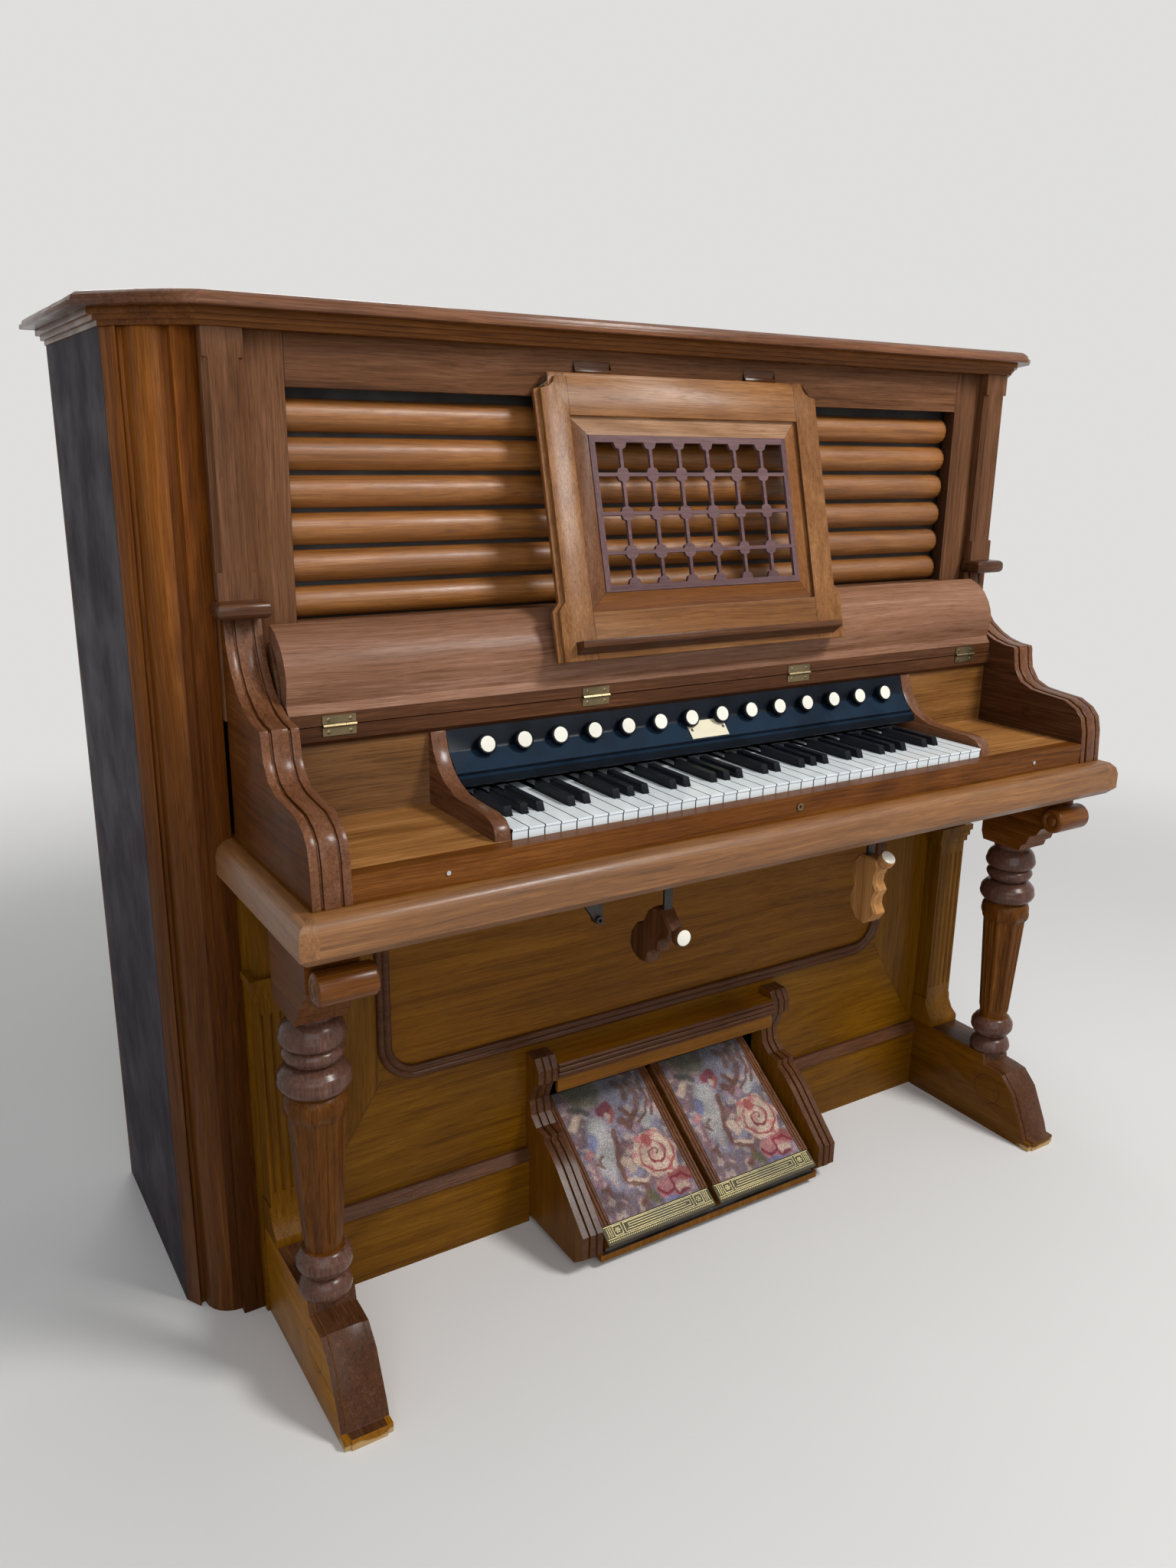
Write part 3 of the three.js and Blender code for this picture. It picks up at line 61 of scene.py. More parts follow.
class Graph:
    """A material and short calls that build its nodes."""

    def __init__(self, name, tree=None):
        self.material = None
        self.tree = tree
        if tree is None:
            self.material = bpy.data.materials.new(name)
            self.material.use_nodes = True
            self.tree = self.material.node_tree
            self.tree.nodes.clear()
            self.shader = self.node("ShaderNodeBsdfPrincipled")
            self.out = self.node("ShaderNodeOutputMaterial")
            self.tree.links.new(self.shader.outputs[0], self.out.inputs["Surface"])

    def node(self, kind, **settings):
        made = self.tree.nodes.new(kind)
        for key, value in settings.items():
            setattr(made, key, value)
        return made

    def put(self, socket, value):
        if isinstance(value, bpy.types.NodeSocket):
            self.tree.links.new(value, socket)
        elif hasattr(value, "__len__") and len(value) == 3 and socket.type == "RGBA":
            socket.default_value = (*value, 1)
        else:
            socket.default_value = value

    def math(self, operation, a, b=0.0, c=0.0):
        made = self.node("ShaderNodeMath", operation=operation)
        for socket, value in zip(made.inputs, (a, b, c)):
            self.put(socket, value)
        return made.outputs[0]

    def times(self, a, b):
        return self.math("MULTIPLY", a, b)

    def plus(self, a, b):
        return self.math("ADD", a, b)

    def minus(self, a, b):
        return self.math("SUBTRACT", a, b)

    def absolute(self, a):
        return self.math("ABSOLUTE", a)

    def above(self, a, b):
        return self.math("GREATER_THAN", a, b)

    def below(self, a, b):
        return self.math("LESS_THAN", a, b)

    def most(self, a, b):
        return self.math("MAXIMUM", a, b)

    def vector(self, operation, a, b=(0, 0, 0), out=0):
        made = self.node("ShaderNodeVectorMath", operation=operation)
        self.put(made.inputs[0], a)
        if operation == "SCALE":
            self.put(made.inputs[3], b)
        else:
            self.put(made.inputs[1], b)
        return made.outputs[out]

    def stretch(self, place, by):
        return self.vector("MULTIPLY", place, by)

    def mix(self, factor, a, b, kind="RGBA", blend="MIX"):
        made = self.node("ShaderNodeMix", data_type=kind)
        if kind == "RGBA":
            made.blend_type = blend
        start = {"FLOAT": 2, "VECTOR": 4, "RGBA": 6}[kind]
        self.put(made.inputs[0], factor)
        self.put(made.inputs[start], a)
        self.put(made.inputs[start + 1], b)
        return made.outputs[{"FLOAT": 0, "VECTOR": 1, "RGBA": 2}[kind]]

    def tinted(self, color, tint):
        return self.mix(1.0, color, tint, blend="MULTIPLY")

    def noise(self, place, scale=1.0, detail=2.0, rough=0.5, warp=0.0, out="Fac"):
        made = self.node("ShaderNodeTexNoise")
        self.put(made.inputs["Vector"], place)
        self.put(made.inputs["Scale"], scale)
        self.put(made.inputs["Detail"], detail)
        self.put(made.inputs["Roughness"], rough)
        self.put(made.inputs["Distortion"], warp)
        return made.outputs[out]

    def step(self, value, low, high, start=0.0, end=1.0):
        made = self.node("ShaderNodeMapRange", interpolation_type="SMOOTHSTEP")
        for socket, given in zip(made.inputs, (value, low, high, start, end)):
            self.put(socket, given)
        return made.outputs[0]

    def place(self):
        return self.node("ShaderNodeTexCoord").outputs["Object"]

    def split(self, place):
        made = self.node("ShaderNodeSeparateXYZ")
        self.put(made.inputs[0], place)
        return made.outputs

    def join(self, x, y, z):
        made = self.node("ShaderNodeCombineXYZ")
        for socket, value in zip(made.inputs, (x, y, z)):
            self.put(socket, value)
        return made.outputs[0]

    def bump(self, height, strength, distance):
        made = self.node("ShaderNodeBump")
        self.put(made.inputs["Height"], height)
        self.put(made.inputs["Strength"], strength)
        self.put(made.inputs["Distance"], distance)
        self.put(self.shader.inputs["Normal"], made.outputs[0])

    def shade(self, **values):
        for key, value in values.items():
            self.put(self.shader.inputs[key.replace("_", " ")], value)
        return self.material


def make_grain():
    """One node group with the figure, streaks and pores of wood whose grain runs along X."""
    tree = bpy.data.node_groups.new("grain", "ShaderNodeTree")
    face = tree.interface
    face.new_socket("Place", in_out="INPUT", socket_type="NodeSocketVector")
    for tone in ("Dark", "Middle", "Light"):
        face.new_socket(tone, in_out="INPUT", socket_type="NodeSocketColor")
    face.new_socket("Figure", in_out="INPUT", socket_type="NodeSocketFloat")
    face.new_socket("Color", in_out="OUTPUT", socket_type="NodeSocketColor")
    face.new_socket("Height", in_out="OUTPUT", socket_type="NodeSocketFloat")
    g = Graph("grain", tree)
    given = g.node("NodeGroupInput").outputs
    result = g.node("NodeGroupOutput").inputs
    place = given["Place"]
    drift = g.vector("SCALE", g.noise(place, 2.2, 2, out="Color"), 0.03)
    drifted = g.vector("ADD", place, drift)
    bands = g.noise(g.stretch(drifted, (3.2, 170, 170)), 1, 4, 0.65)
    broad = g.noise(g.stretch(drifted, (1.0, 26, 26)), 1, 2, 0.5, 0.3)
    fine = g.noise(g.stretch(drifted, (11, 480, 480)), 1, 2, 0.6)
    field = g.noise(g.stretch(drifted, (0.9, 5.5, 5.5)), 1, 1, 0.4, 0.5)
    wave = g.times(g.math("SINE", g.times(field, 80.0)), given["Figure"])
    pores = g.step(g.noise(g.stretch(place, (40, 950, 950)), 1, 1, 0.5), 0.56, 0.7)
    total = g.plus(g.times(bands, 0.4), g.times(broad, 0.25))
    total = g.plus(total, g.times(fine, 0.35))
    total = g.plus(total, g.times(wave, 0.045))
    color = g.mix(g.step(total, 0.37, 0.5), given["Dark"], given["Middle"])
    color = g.mix(g.step(total, 0.49, 0.64), color, given["Light"])
    patch = g.noise(g.stretch(place, (1.6, 4, 4)), 1, 2)
    tint = g.mix(g.step(patch, 0.3, 0.7), (0.84, 0.8, 0.76), (1.14, 1.1, 1.02))
    color = g.tinted(color, tint)
    dark_pore = g.tinted(color, (0.36, 0.3, 0.27))
    color = g.mix(g.times(pores, 0.42), color, dark_pore)
    g.put(result["Color"], color)
    g.put(result["Height"], g.minus(g.times(total, 0.5), pores))
    return tree


GRAIN = make_grain()
ORDER = {"x": (0, 1, 2), "y": (1, 0, 2), "z": (2, 0, 1)}

# Tones of the woods, dark to light
WALNUT = ((0.041, 0.011, 0.002), (0.115, 0.037, 0.005), (0.191, 0.070, 0.013))
PALE = ((0.084, 0.028, 0.003), (0.204, 0.074, 0.012), (0.321, 0.139, 0.037))
TAN = ((0.065, 0.026, 0.006), (0.160, 0.072, 0.021), (0.260, 0.130, 0.046))
HONEY = ((0.076, 0.029, 0.005), (0.174, 0.070, 0.017), (0.272, 0.124, 0.038))
# A lighter copy of TAN, for painted light on the key blocks' tops
TAN_PAINTED_LIGHT = ((0.111, 0.044, 0.010), (0.272, 0.122, 0.036), (0.442, 0.221, 0.078))
OCHRE = ((0.061, 0.022, 0.000), (0.119, 0.048, 0.001), (0.173, 0.077, 0.004))
DESK = ((0.100, 0.036, 0.010), (0.188, 0.082, 0.028), (0.283, 0.142, 0.058))
AMBER = ((0.110, 0.040, 0.001), (0.215, 0.086, 0.003), (0.314, 0.139, 0.009))
FRAME = ((0.040, 0.015, 0.007), (0.108, 0.046, 0.020), (0.180, 0.086, 0.045))
GOLD = ((0.075, 0.025, 0.001), (0.150, 0.056, 0.002), (0.220, 0.092, 0.007))
ROSE = ((0.050, 0.017, 0.008), (0.121, 0.049, 0.023), (0.207, 0.094, 0.050))
FALL = ((0.101, 0.042, 0.021), (0.202, 0.100, 0.059), (0.313, 0.177, 0.128))
UMBER = ((0.024, 0.008, 0.004), (0.066, 0.025, 0.010), (0.126, 0.052, 0.023))
RUSSET = ((0.038, 0.009, 0.001), (0.088, 0.026, 0.003), (0.150, 0.051, 0.007))
# Tones of the case sides: painted shade with a painted blue reflection over dark wood
SIDE_PAINTED_SHADE = ((0.014, 0.011, 0.018), (0.028, 0.022, 0.032), (0.048, 0.038, 0.050))
SHAFT_WOOD = ((0.030, 0.009, 0.001), (0.085, 0.028, 0.003), (0.150, 0.056, 0.009))
PLUM = ((0.067, 0.035, 0.038), (0.105, 0.060, 0.067), (0.155, 0.093, 0.104))
RING = ((0.035, 0.014, 0.009), (0.088, 0.042, 0.030), (0.160, 0.080, 0.062))
OAK = ((0.170, 0.075, 0.022), (0.330, 0.160, 0.055), (0.450, 0.245, 0.100))


def blend(a, b, share):
    return tuple(p + (q - p) * share for p, q in zip(a, b))


def wood(
    name, tones, axis="x", boards=(), shade=None,
    figure=0.5, rough=0.42, coat=0.03, gloss=0.1, shift=0.0,
):
    """Varnished wood. boards lists (mask, axis, shift) for pieces whose grain runs another way."""
    g = Graph(name)
    place = g.place()
    parts = g.split(place)

    def along(which, moved):
        a, b, c = ORDER[which]
        return g.vector("ADD", g.join(parts[a], parts[b], parts[c]), (moved, moved * 0.37, moved * 0.71))

    course = along(axis, shift)
    for mask, other, moved in boards:
        course = g.mix(mask(g, parts), course, along(other, moved), kind="VECTOR")
    grain = g.node("ShaderNodeGroup", node_tree=GRAIN)
    g.put(grain.inputs["Place"], course)
    dark, middle, light = tones
    g.put(grain.inputs["Dark"], blend(dark, middle, 0.32))
    g.put(grain.inputs["Middle"], middle)
    g.put(grain.inputs["Light"], blend(light, middle, 0.26))
    g.put(grain.inputs["Figure"], figure)
    color = grain.outputs["Color"]
    height = grain.outputs["Height"]
    if shade:
        color, height = shade(g, parts, color, height)
    smear = g.noise(place, 9, 3, 0.6)
    g.bump(height, 0.2, 0.0005)
    g.shade(
        Base_Color=color,
        Roughness=g.step(smear, 0.3, 0.75, rough - 0.06, rough + 0.12),
        Specular_IOR_Level=gloss,
        Coat_Weight=coat,
        Coat_Roughness=0.22,
    )
    return g.material


def outside(limit, part=0):
    """Mask of what lies further than limit from the middle plane."""
    return lambda g, parts: g.above(g.absolute(parts[part]), limit)


def hairline(g, value, at, wide=0.00045):
    """1 in a thin line where value is near at."""
    away = g.absolute(g.minus(value, at))
    return g.step(away, wide, wide * 2, 1.0, 0.0)


def seams(*places):
    """Dark joint lines at these distances either side of the middle."""

    def apply(g, parts, color, height):
        total = 0.0
        for at in places:
            total = g.most(total, hairline(g, g.absolute(parts[0]), at))
        color = g.mix(g.times(total, 0.7), color, (0.012, 0.005, 0.003))
        return color, g.minus(height, g.times(total, 3.0))

    return apply


def plain(
    name, color, rough, metal=0.0, spot=0.12, grain=60, bump=0.1,
    coat=0.0, stretch=(1, 1, 1), gloss=0.5,
):
    """Metal, lacquer or ivory with faint stains and fine scratches."""
    g = Graph(name)
    place = g.place()
    stain = g.noise(place, 14, 4, 0.6)
    fine = g.noise(g.stretch(place, stretch), grain, 4, 0.65)
    low = tuple(c * (1 - spot) for c in color)
    high = tuple(min(1, c * (1 + spot)) for c in color)
    tone = g.mix(g.step(stain, 0.3, 0.7), low, high)
    worn = tuple(c * 0.35 for c in color)
    tone = g.mix(g.times(g.step(fine, 0.58, 0.8), spot), tone, worn)
    g.bump(fine, bump, 0.0003)
    return g.shade(
        Base_Color=tone,
        Metallic=metal,
        Roughness=g.step(stain, 0.25, 0.75, rough * 0.8, rough * 1.25),
        Specular_IOR_Level=gloss,
        Coat_Weight=coat,
        Coat_Roughness=0.12,
    )


# Materials that do not belong to one board
BRASS = plain("brass", (0.17, 0.13, 0.07), 0.36, 0.9, 0.3, 90, 0.25)
OLD_BRASS = plain("old_brass", (0.60, 0.52, 0.27), 0.45, 0.55, 0.35, 160, 0.35)
PATINA = plain("patina", (0.045, 0.037, 0.018), 0.55, 0.5, 0.4, 160, 0.4)
IRON = plain("iron", (0.05, 0.045, 0.042), 0.45, 0.9, 0.4, 120, 0.4)
STEEL = plain("steel", (0.6, 0.6, 0.6), 0.25, 1.0, 0.15, 150, 0.15)
IVORY = plain("porcelain", (0.72, 0.70, 0.61), 0.3, 0.0, 0.06, 200, 0.03, 0.1)
PLATE = plain("plate", (0.58, 0.53, 0.38), 0.4, 0.0, 0.12, 220, 0.1, 0.1)
LACQUER = plain("black_lacquer", (0.002, 0.004, 0.008), 0.36, 0.0, 0.4, 70, 0.06, gloss=0.1)
# Black lacquer of the slanted ledge with a painted blue reflection
LEDGE_PAINTED_REFLECTION = plain("lacquer_painted_reflection", (0.008, 0.018, 0.033), 0.5, 0.0, 0.3, 70, 0.06, gloss=0.04)
EBONY = plain("ebony", (0.004, 0.005, 0.008), 0.36, 0.0, 0.35, 500, 0.1, 0.0, (1, 0.06, 1), 0.15)
# Near-black painted shadow for backings and undersides seen only in shade
SHADOW = plain("painted_shadow", (0.010, 0.007, 0.005), 0.7, 0.0, 0.3, 60)


def key_ivory(name, low, high):
    """Ivory tops with a fine cross joint between head and tail."""
    g = Graph(name)
    place = g.place()
    x, y, z = g.split(place)
    count = g.math("DIVIDE", g.plus(x, KEYS_HALF), NATURAL_PITCH)
    number = g.math("FLOOR", count)
    own = g.noise(g.join(number, 3.1, 0.0), 1.7, 0)
    veins = g.noise(g.stretch(place, (260, 22, 260)), 1, 3, 0.6, 0.8)
    tone = g.mix(g.step(own, 0.3, 0.7), low, high)
    tone = g.mix(g.times(g.step(veins, 0.45, 0.75), 0.1), tone, (0.66, 0.64, 0.54))
    # Fronts darker toward their foot
    front_foot_darkening = g.times(g.step(z, KEY_TOP - 0.02, KEY_TOP - 0.004, 1.0, 0.0), 0.5)
    tone = g.mix(front_foot_darkening, tone, (0.33, 0.28, 0.18))
    line = hairline(g, y, back(48.2), 0.0002)
    tone = g.mix(g.times(line, 0.5), tone, (0.2, 0.17, 0.12))
    gap = g.step(g.math("PINGPONG", count, 0.5), 0.026, 0.048, 1.0, 0.0)
    tone = g.mix(gap, tone, (0.02, 0.018, 0.016))
    g.bump(veins, 0.05, 0.0002)
    return g.shade(Base_Color=tone, Roughness=0.24, Coat_Weight=0.3, Coat_Roughness=0.1)


KEY_IVORY = key_ivory("key_tops", (0.74, 0.80, 0.83), (0.80, 0.86, 0.88))
KEY_FRONT = key_ivory("key_fronts", (0.70, 0.77, 0.81), (0.76, 0.82, 0.86))

# Boards of the case, and how far from the middle their end pieces begin
LID_ENDS, STILE_IN, STILE_OUT, NOSING_ENDS, LATTICE_ENDS = 0.72, 0.588, 0.640, 0.688, 0.168
# Case sides in painted shade with a painted blue reflection
side_wood = wood("case_side", SIDE_PAINTED_SHADE, "z", rough=0.5, coat=0.0, gloss=0.03, shift=1.3)
back_wood = wood("case_back", UMBER, "z", shade=seams(0.26, 0.52), rough=0.55, coat=0.0)


def post_painted_light(g, parts, color, height):
    """Painted light and shade: lighter toward the top, darker toward the foot."""
    # Painted light and shade by height
    level = g.step(parts[2], 0.45, 1.3, 0.6, 1.7)
    return g.tinted(color, g.join(level, level, level)), height


post_wood = wood("post", RUSSET, "z", shade=post_painted_light, figure=0.6, coat=0.0, gloss=0.06, shift=2.1)
post_round_wood = wood("post_round", WALNUT, "z", shade=post_painted_light, figure=0.6, coat=0.02, shift=1.1)
lid_wood = wood("lid", ROSE, "x", boards=[(outside(LID_ENDS), "y", 0.8)], rough=0.3, coat=0.12)
cornice_wood = wood("cornice", WALNUT, "x", boards=[(outside(LID_ENDS), "y", 0.4)], rough=0.32, coat=0.09)
log_wood = wood("logs", PALE, "x", figure=0.6, rough=0.46, coat=0.08, gloss=0.5)
frame_wood = wood(
    "upper_frame", FRAME, "x", boards=[(outside(STILE_IN), "z", 0.9), (outside(STILE_OUT), "z", 1.9)],
    shade=seams(STILE_IN), figure=0.5,
)
dark_turned = wood("dark_turned", UMBER, "x", rough=0.26, coat=0.25)
arm_wood = wood("arm", RUSSET, "y", figure=0.6, rough=0.4, coat=0.0, gloss=0.08, shift=0.6)
# Inner faces of the arms in a darker wood: painted shade
arm_inner_painted_shade_wood = wood("arm_inner", UMBER, "y", figure=0.6, coat=0.0, gloss=0.06, shift=0.9)
arm_edge_wood = wood("arm_edge", ROSE, "y", figure=0.3, rough=0.3, coat=0.16, shift=0.2)
bed_wood = wood("key_bed", GOLD, "x", figure=0.3, rough=0.5, coat=0.0)
nosing_wood = wood(
    "nosing", HONEY, "x", boards=[(outside(NOSING_ENDS), "y", 0.5)], figure=0.4, coat=0.15, gloss=0.5,
)
slip_wood = wood("slip", WALNUT, "x", figure=0.9, rough=0.34, shift=0.33)
# Tops of the key blocks: painted light from above
block_top_painted_light_wood = wood("block_top", TAN_PAINTED_LIGHT, "x", figure=0.8, rough=0.36, shift=0.71)
block_wood = wood("key_block", TAN, "x", figure=0.8, rough=0.36, shift=0.71)
cheek_wood = wood("cheek", ROSE, "y", figure=0.3, rough=0.26, coat=0.3)
rail_wood = wood("hinge_rail", UMBER, "x", figure=0.3, rough=0.36, shift=0.15)
fall_wood = wood("fallboard", FALL, "x", figure=0.4, rough=0.42, coat=0.06, shift=0.45)
leaf_wood = wood("leaf", ROSE, "x", figure=0.4, rough=0.3, shift=0.95)
bracket_wood = wood("bracket", WALNUT, "y", figure=0.5, rough=0.34)
roll_wood = wood("roll", WALNUT, "x", figure=0.3, rough=0.28, coat=0.2)
column_wood = wood("column", SHAFT_WOOD, "z", figure=0.2, rough=0.32, gloss=0.08, shift=3.0)
ring_wood = wood("column_rings", RING, "z", figure=0.2, rough=0.24, coat=0.25)
plinth_wood = wood("plinth", OCHRE, "x", figure=0.8, shift=0.2)
plinth_rail_wood = wood("plinth_rail", UMBER, "x", figure=0.3, rough=0.32, coat=0.1, shift=0.6)
pilaster_wood = wood("rear_pilaster", OCHRE, "z", figure=0.4, coat=0.03, shift=0.5)
mould_wood = wood("moulding", UMBER, "x", figure=0.2, rough=0.32, coat=0.1)
box_wood = wood("pedal_box", GOLD, "z", figure=0.5, coat=0.03, shift=0.8)
ledge_wood = wood("ledge", GOLD, "x", figure=0.3, rough=0.32, coat=0.07)
edge_wood = wood("scroll_edge", UMBER, "y", figure=0.3, rough=0.34, coat=0.1)
board_wood = wood("treadle", GOLD, "y", figure=0.4, rough=0.42, coat=0.03)
reed_wood = wood("reeded_strip", ROSE, "y", figure=0.3, rough=0.3, coat=0.2)
lattice_wood = wood("lattice", PLUM, "x", boards=[(outside(LATTICE_ENDS), "z", 0.4)], figure=0.2, rough=0.45)
# Left paddle in a dark wood: painted shade where it is seen in shadow; the right keeps a pale oak
lever_painted_shade = wood("lever_left", UMBER, "z", figure=0.5, rough=0.3, coat=0.09)
lever_pale = wood("lever_right", OAK, "z", figure=0.9, rough=0.42, coat=0.03)
chest_wood = wood("wind_chest", OAK, "x", figure=0.4, rough=0.6, coat=0.0)
leather = plain("leather", (0.07, 0.055, 0.045), 0.75, 0.0, 0.3, 250, 0.5)
carpet_base = plain("carpet_backing", (0.12, 0.09, 0.08), 0.95, 0.0, 0.3, 400, 0.6)


RING_Y, RING_Z, RING_RADIUS = back(64), 0.078, 0.028


def foot_shade(g, parts, color, height):
    """A scribed circle on the outer faces, bare wood under the front edge, and painted shade on the right
    foot.
    """
    # Painted shade: the right foot darker
    darker = g.tinted(color, (0.5, 0.47, 0.4))
    color = g.mix(g.above(parts[0], 0.0), color, darker)
    y = g.minus(parts[1], RING_Y)
    z = g.minus(parts[2], RING_Z)
    radius = g.math("SQRT", g.plus(g.times(y, y), g.times(z, z)))
    ring = hairline(g, radius, RING_RADIUS, 0.0006)
    color = g.mix(g.times(ring, 0.6), color, (0.03, 0.012, 0.006))
    worn = g.plus(parts[2], g.times(g.noise(g.join(*parts[:3]), 60, 3), 0.012))
    near = g.step(parts[1], back(-30), back(-10), 1.0, 0.0)
    low = g.times(g.step(worn, 0.011, 0.016, 1.0, 0.0), near)
    color = g.mix(low, color, (0.42, 0.27, 0.11))
    return color, g.minus(height, g.times(ring, 3.0))


foot_wood = wood("foot", AMBER, "y", shade=foot_shade, figure=0.7, rough=0.36, coat=0.04, shift=0.3)


MITRE_SLOPE = 0.635


def knee_slant(g, parts):
    """Distance outside the mitre that runs down from the moulding's lower corners."""
    down = g.times(g.minus(MOULD_LOW, parts[2]), MITRE_SLOPE)
    return g.minus(g.absolute(parts[0]), g.plus(down, MOULD_HALF))


def knee_sides(g, parts):
    out = g.above(g.absolute(parts[0]), MOULD_HALF)
    return g.times(g.above(knee_slant(g, parts), 0.0), out)


def knee_shade(g, parts, color, height):
    """Field inside the moulding with painted light that lifts it out of the key bed's shadow, mitred borders
    outside it.
    """
    above = g.above(parts[2], MOULD_LOW + 0.01)
    line = hairline(g, knee_slant(g, parts), 0.0, 0.0006)
    line = g.times(line, g.minus(1.0, above))
    color = g.mix(g.times(line, 0.5), color, (0.03, 0.014, 0.004))
    within = g.below(g.absolute(parts[0]), MOULD_HALF - 0.01)
    inside = g.times(within, above)
    # Painted light on the field inside the moulding
    lighter = g.tinted(color, (1.2, 1.12, 1.0))
    return g.mix(inside, color, lighter), height


knee_wood = wood(
    "knee_panel", OCHRE, "x", boards=[(knee_sides, "z", 0.6)], shade=knee_shade,
    figure=0.8, rough=0.38,
)

# The desk leans, so its boards are told apart by places along its own height
DESK_LEAN = 0.2487
DESK_TOP = Vector((0, back(261.4), 1.3236))
DESK_THICK = 0.014
PANEL_HALF, PANEL_TOP, PANEL_FOOT = 0.203, 0.0641, 0.3331


def desk_height(g, parts):
    """Metres down the desk from its hinge."""
    down = g.times(g.minus(DESK_TOP.z, parts[2]), math.cos(DESK_LEAN))
    out = g.times(g.minus(DESK_TOP.y, parts[1]), math.sin(DESK_LEAN))
    return g.plus(down, out)


def desk_panel(g, parts):
    down = desk_height(g, parts)
    inside = g.below(g.absolute(parts[0]), PANEL_HALF)
    inside = g.times(inside, g.above(down, PANEL_TOP))
    return g.times(inside, g.below(down, PANEL_FOOT))


def desk_mitre(g, parts):
    """How much further a place is toward the panel's sides than toward its top or foot."""
    middle = (PANEL_TOP + PANEL_FOOT) / 2
    away = g.absolute(g.minus(desk_height(g, parts), middle))
    tall = g.minus(away, (PANEL_FOOT - PANEL_TOP) / 2)
    wide = g.minus(g.absolute(parts[0]), PANEL_HALF)
    return g.minus(wide, tall)


def desk_bevel_sides(g, parts):
    return g.times(desk_panel(g, parts), g.above(desk_mitre(g, parts), 0.0))


def desk_shade(g, parts, color, height):
    """Joint lines between stiles and rails, mitres at the corners of the raised border, and painted light on
    the border's bevels.
    """
    panel = desk_panel(g, parts)
    line = hairline(g, g.absolute(parts[0]), PANEL_HALF)
    line = g.times(line, g.minus(1.0, panel))
    color = g.mix(g.times(line, 0.6), color, (0.02, 0.008, 0.004))
    # Painted light on the bevels: a pale painted highlight on the top one, painted shade on the left and
    # lower ones, the right one a little brighter
    sideways = g.above(desk_mitre(g, parts), 0.0)
    low = g.above(desk_height(g, parts), (PANEL_TOP + PANEL_FOOT) / 2)
    left = g.below(parts[0], 0.0)
    sides = g.mix(left, (1.1, 1.0, 0.85), (0.62, 0.56, 0.62))
    ends = g.mix(low, (1.35, 1.75, 2.9), (0.68, 0.52, 0.24))
    tint = g.mix(sideways, ends, sides)
    color = g.mix(panel, color, g.tinted(color, tint))
    mitre = g.times(hairline(g, desk_mitre(g, parts), 0.0, 0.0005), panel)
    color = g.mix(g.times(mitre, 0.5), color, (0.03, 0.012, 0.006))
    return color, g.minus(height, g.times(line, 2.5))


desk_wood = wood(
    "music_desk", DESK, "x",
    boards=[(outside(PANEL_HALF), "z", 0.35), (desk_bevel_sides, "z", 1.45)],
    shade=desk_shade, figure=0.6, rough=0.32, coat=0.07, shift=1.7,
)


def rounded_edges():
    """Geometry nodes that shade each piece smooth across edges flatter than 33 degrees."""
    tree = bpy.data.node_groups.new("shade_by_angle", "GeometryNodeTree")
    tree.interface.new_socket("Geometry", in_out="INPUT", socket_type="NodeSocketGeometry")
    tree.interface.new_socket("Geometry", in_out="OUTPUT", socket_type="NodeSocketGeometry")
    given = tree.nodes.new("NodeGroupInput")
    result = tree.nodes.new("NodeGroupOutput")
    faces = tree.nodes.new("GeometryNodeSetShadeSmooth")
    faces.domain = "FACE"
    edges = tree.nodes.new("GeometryNodeSetShadeSmooth")
    edges.domain = "EDGE"
    edges.inputs["Shade Smooth"].default_value = False
    angle = tree.nodes.new("GeometryNodeInputMeshEdgeAngle")
    sharp = tree.nodes.new("FunctionNodeCompare")
    sharp.operation = "GREATER_THAN"
    sharp.inputs[1].default_value = math.radians(33)
    tree.links.new(angle.outputs[0], sharp.inputs[0])
    tree.links.new(given.outputs[0], faces.inputs["Geometry"])
    tree.links.new(faces.outputs[0], edges.inputs["Geometry"])
    tree.links.new(sharp.outputs[0], edges.inputs["Selection"])
    tree.links.new(edges.outputs[0], result.inputs[0])
    return tree


BY_ANGLE = rounded_edges()


def finish_edges(piece, bevel=0.0, weld=True):
    if weld:
        joined = piece.modifiers.new("weld", "WELD")
        joined.merge_threshold = 0.00002
    if bevel:
        flat = piece.modifiers.new("flat", "DECIMATE")
        flat.decimate_type = "DISSOLVE"
        flat.angle_limit = math.radians(0.3)
        flat.delimit = {"MATERIAL"}
        soft = piece.modifiers.new("soft", "BEVEL")
        soft.width = bevel
        soft.segments = 2
        soft.limit_method = "ANGLE"
        soft.angle_limit = math.radians(50)
        soft.use_clamp_overlap = False
        soft.loop_slide = False
    smooth = piece.modifiers.new("smooth", "NODES")
    smooth.node_group = BY_ANGLE


Face = namedtuple("Face", "x y z nx nz reach")


def paint(node, material, *rules, bevel=0.0):
    """Gives a node its material, and other materials to the faces for which a rule's test holds."""
    piece = NODES[node]
    mesh = piece.data
    mesh.materials.clear()
    mesh.materials.append(material)
    for other, _ in rules:
        mesh.materials.append(other)
    for polygon in mesh.polygons:
        reach = max(abs(mesh.vertices[v].co.x) for v in polygon.vertices)
        face = Face(*polygon.center, polygon.normal.x, polygon.normal.z, reach)
        polygon.material_index = 0
        for number, (_, test) in enumerate(rules):
            if test(face):
                polygon.material_index = number + 1
    finish_edges(piece, bevel)


EDGE, SMALL_EDGE = 0.0009, 0.0006
COLUMN_FOOT, COLUMN_HIGH, COLUMN_RADIUS = 0.142, 0.408, 0.046
SHAFT = (COLUMN_FOOT + 0.165 * COLUMN_HIGH, COLUMN_FOOT + 0.73 * COLUMN_HIGH)

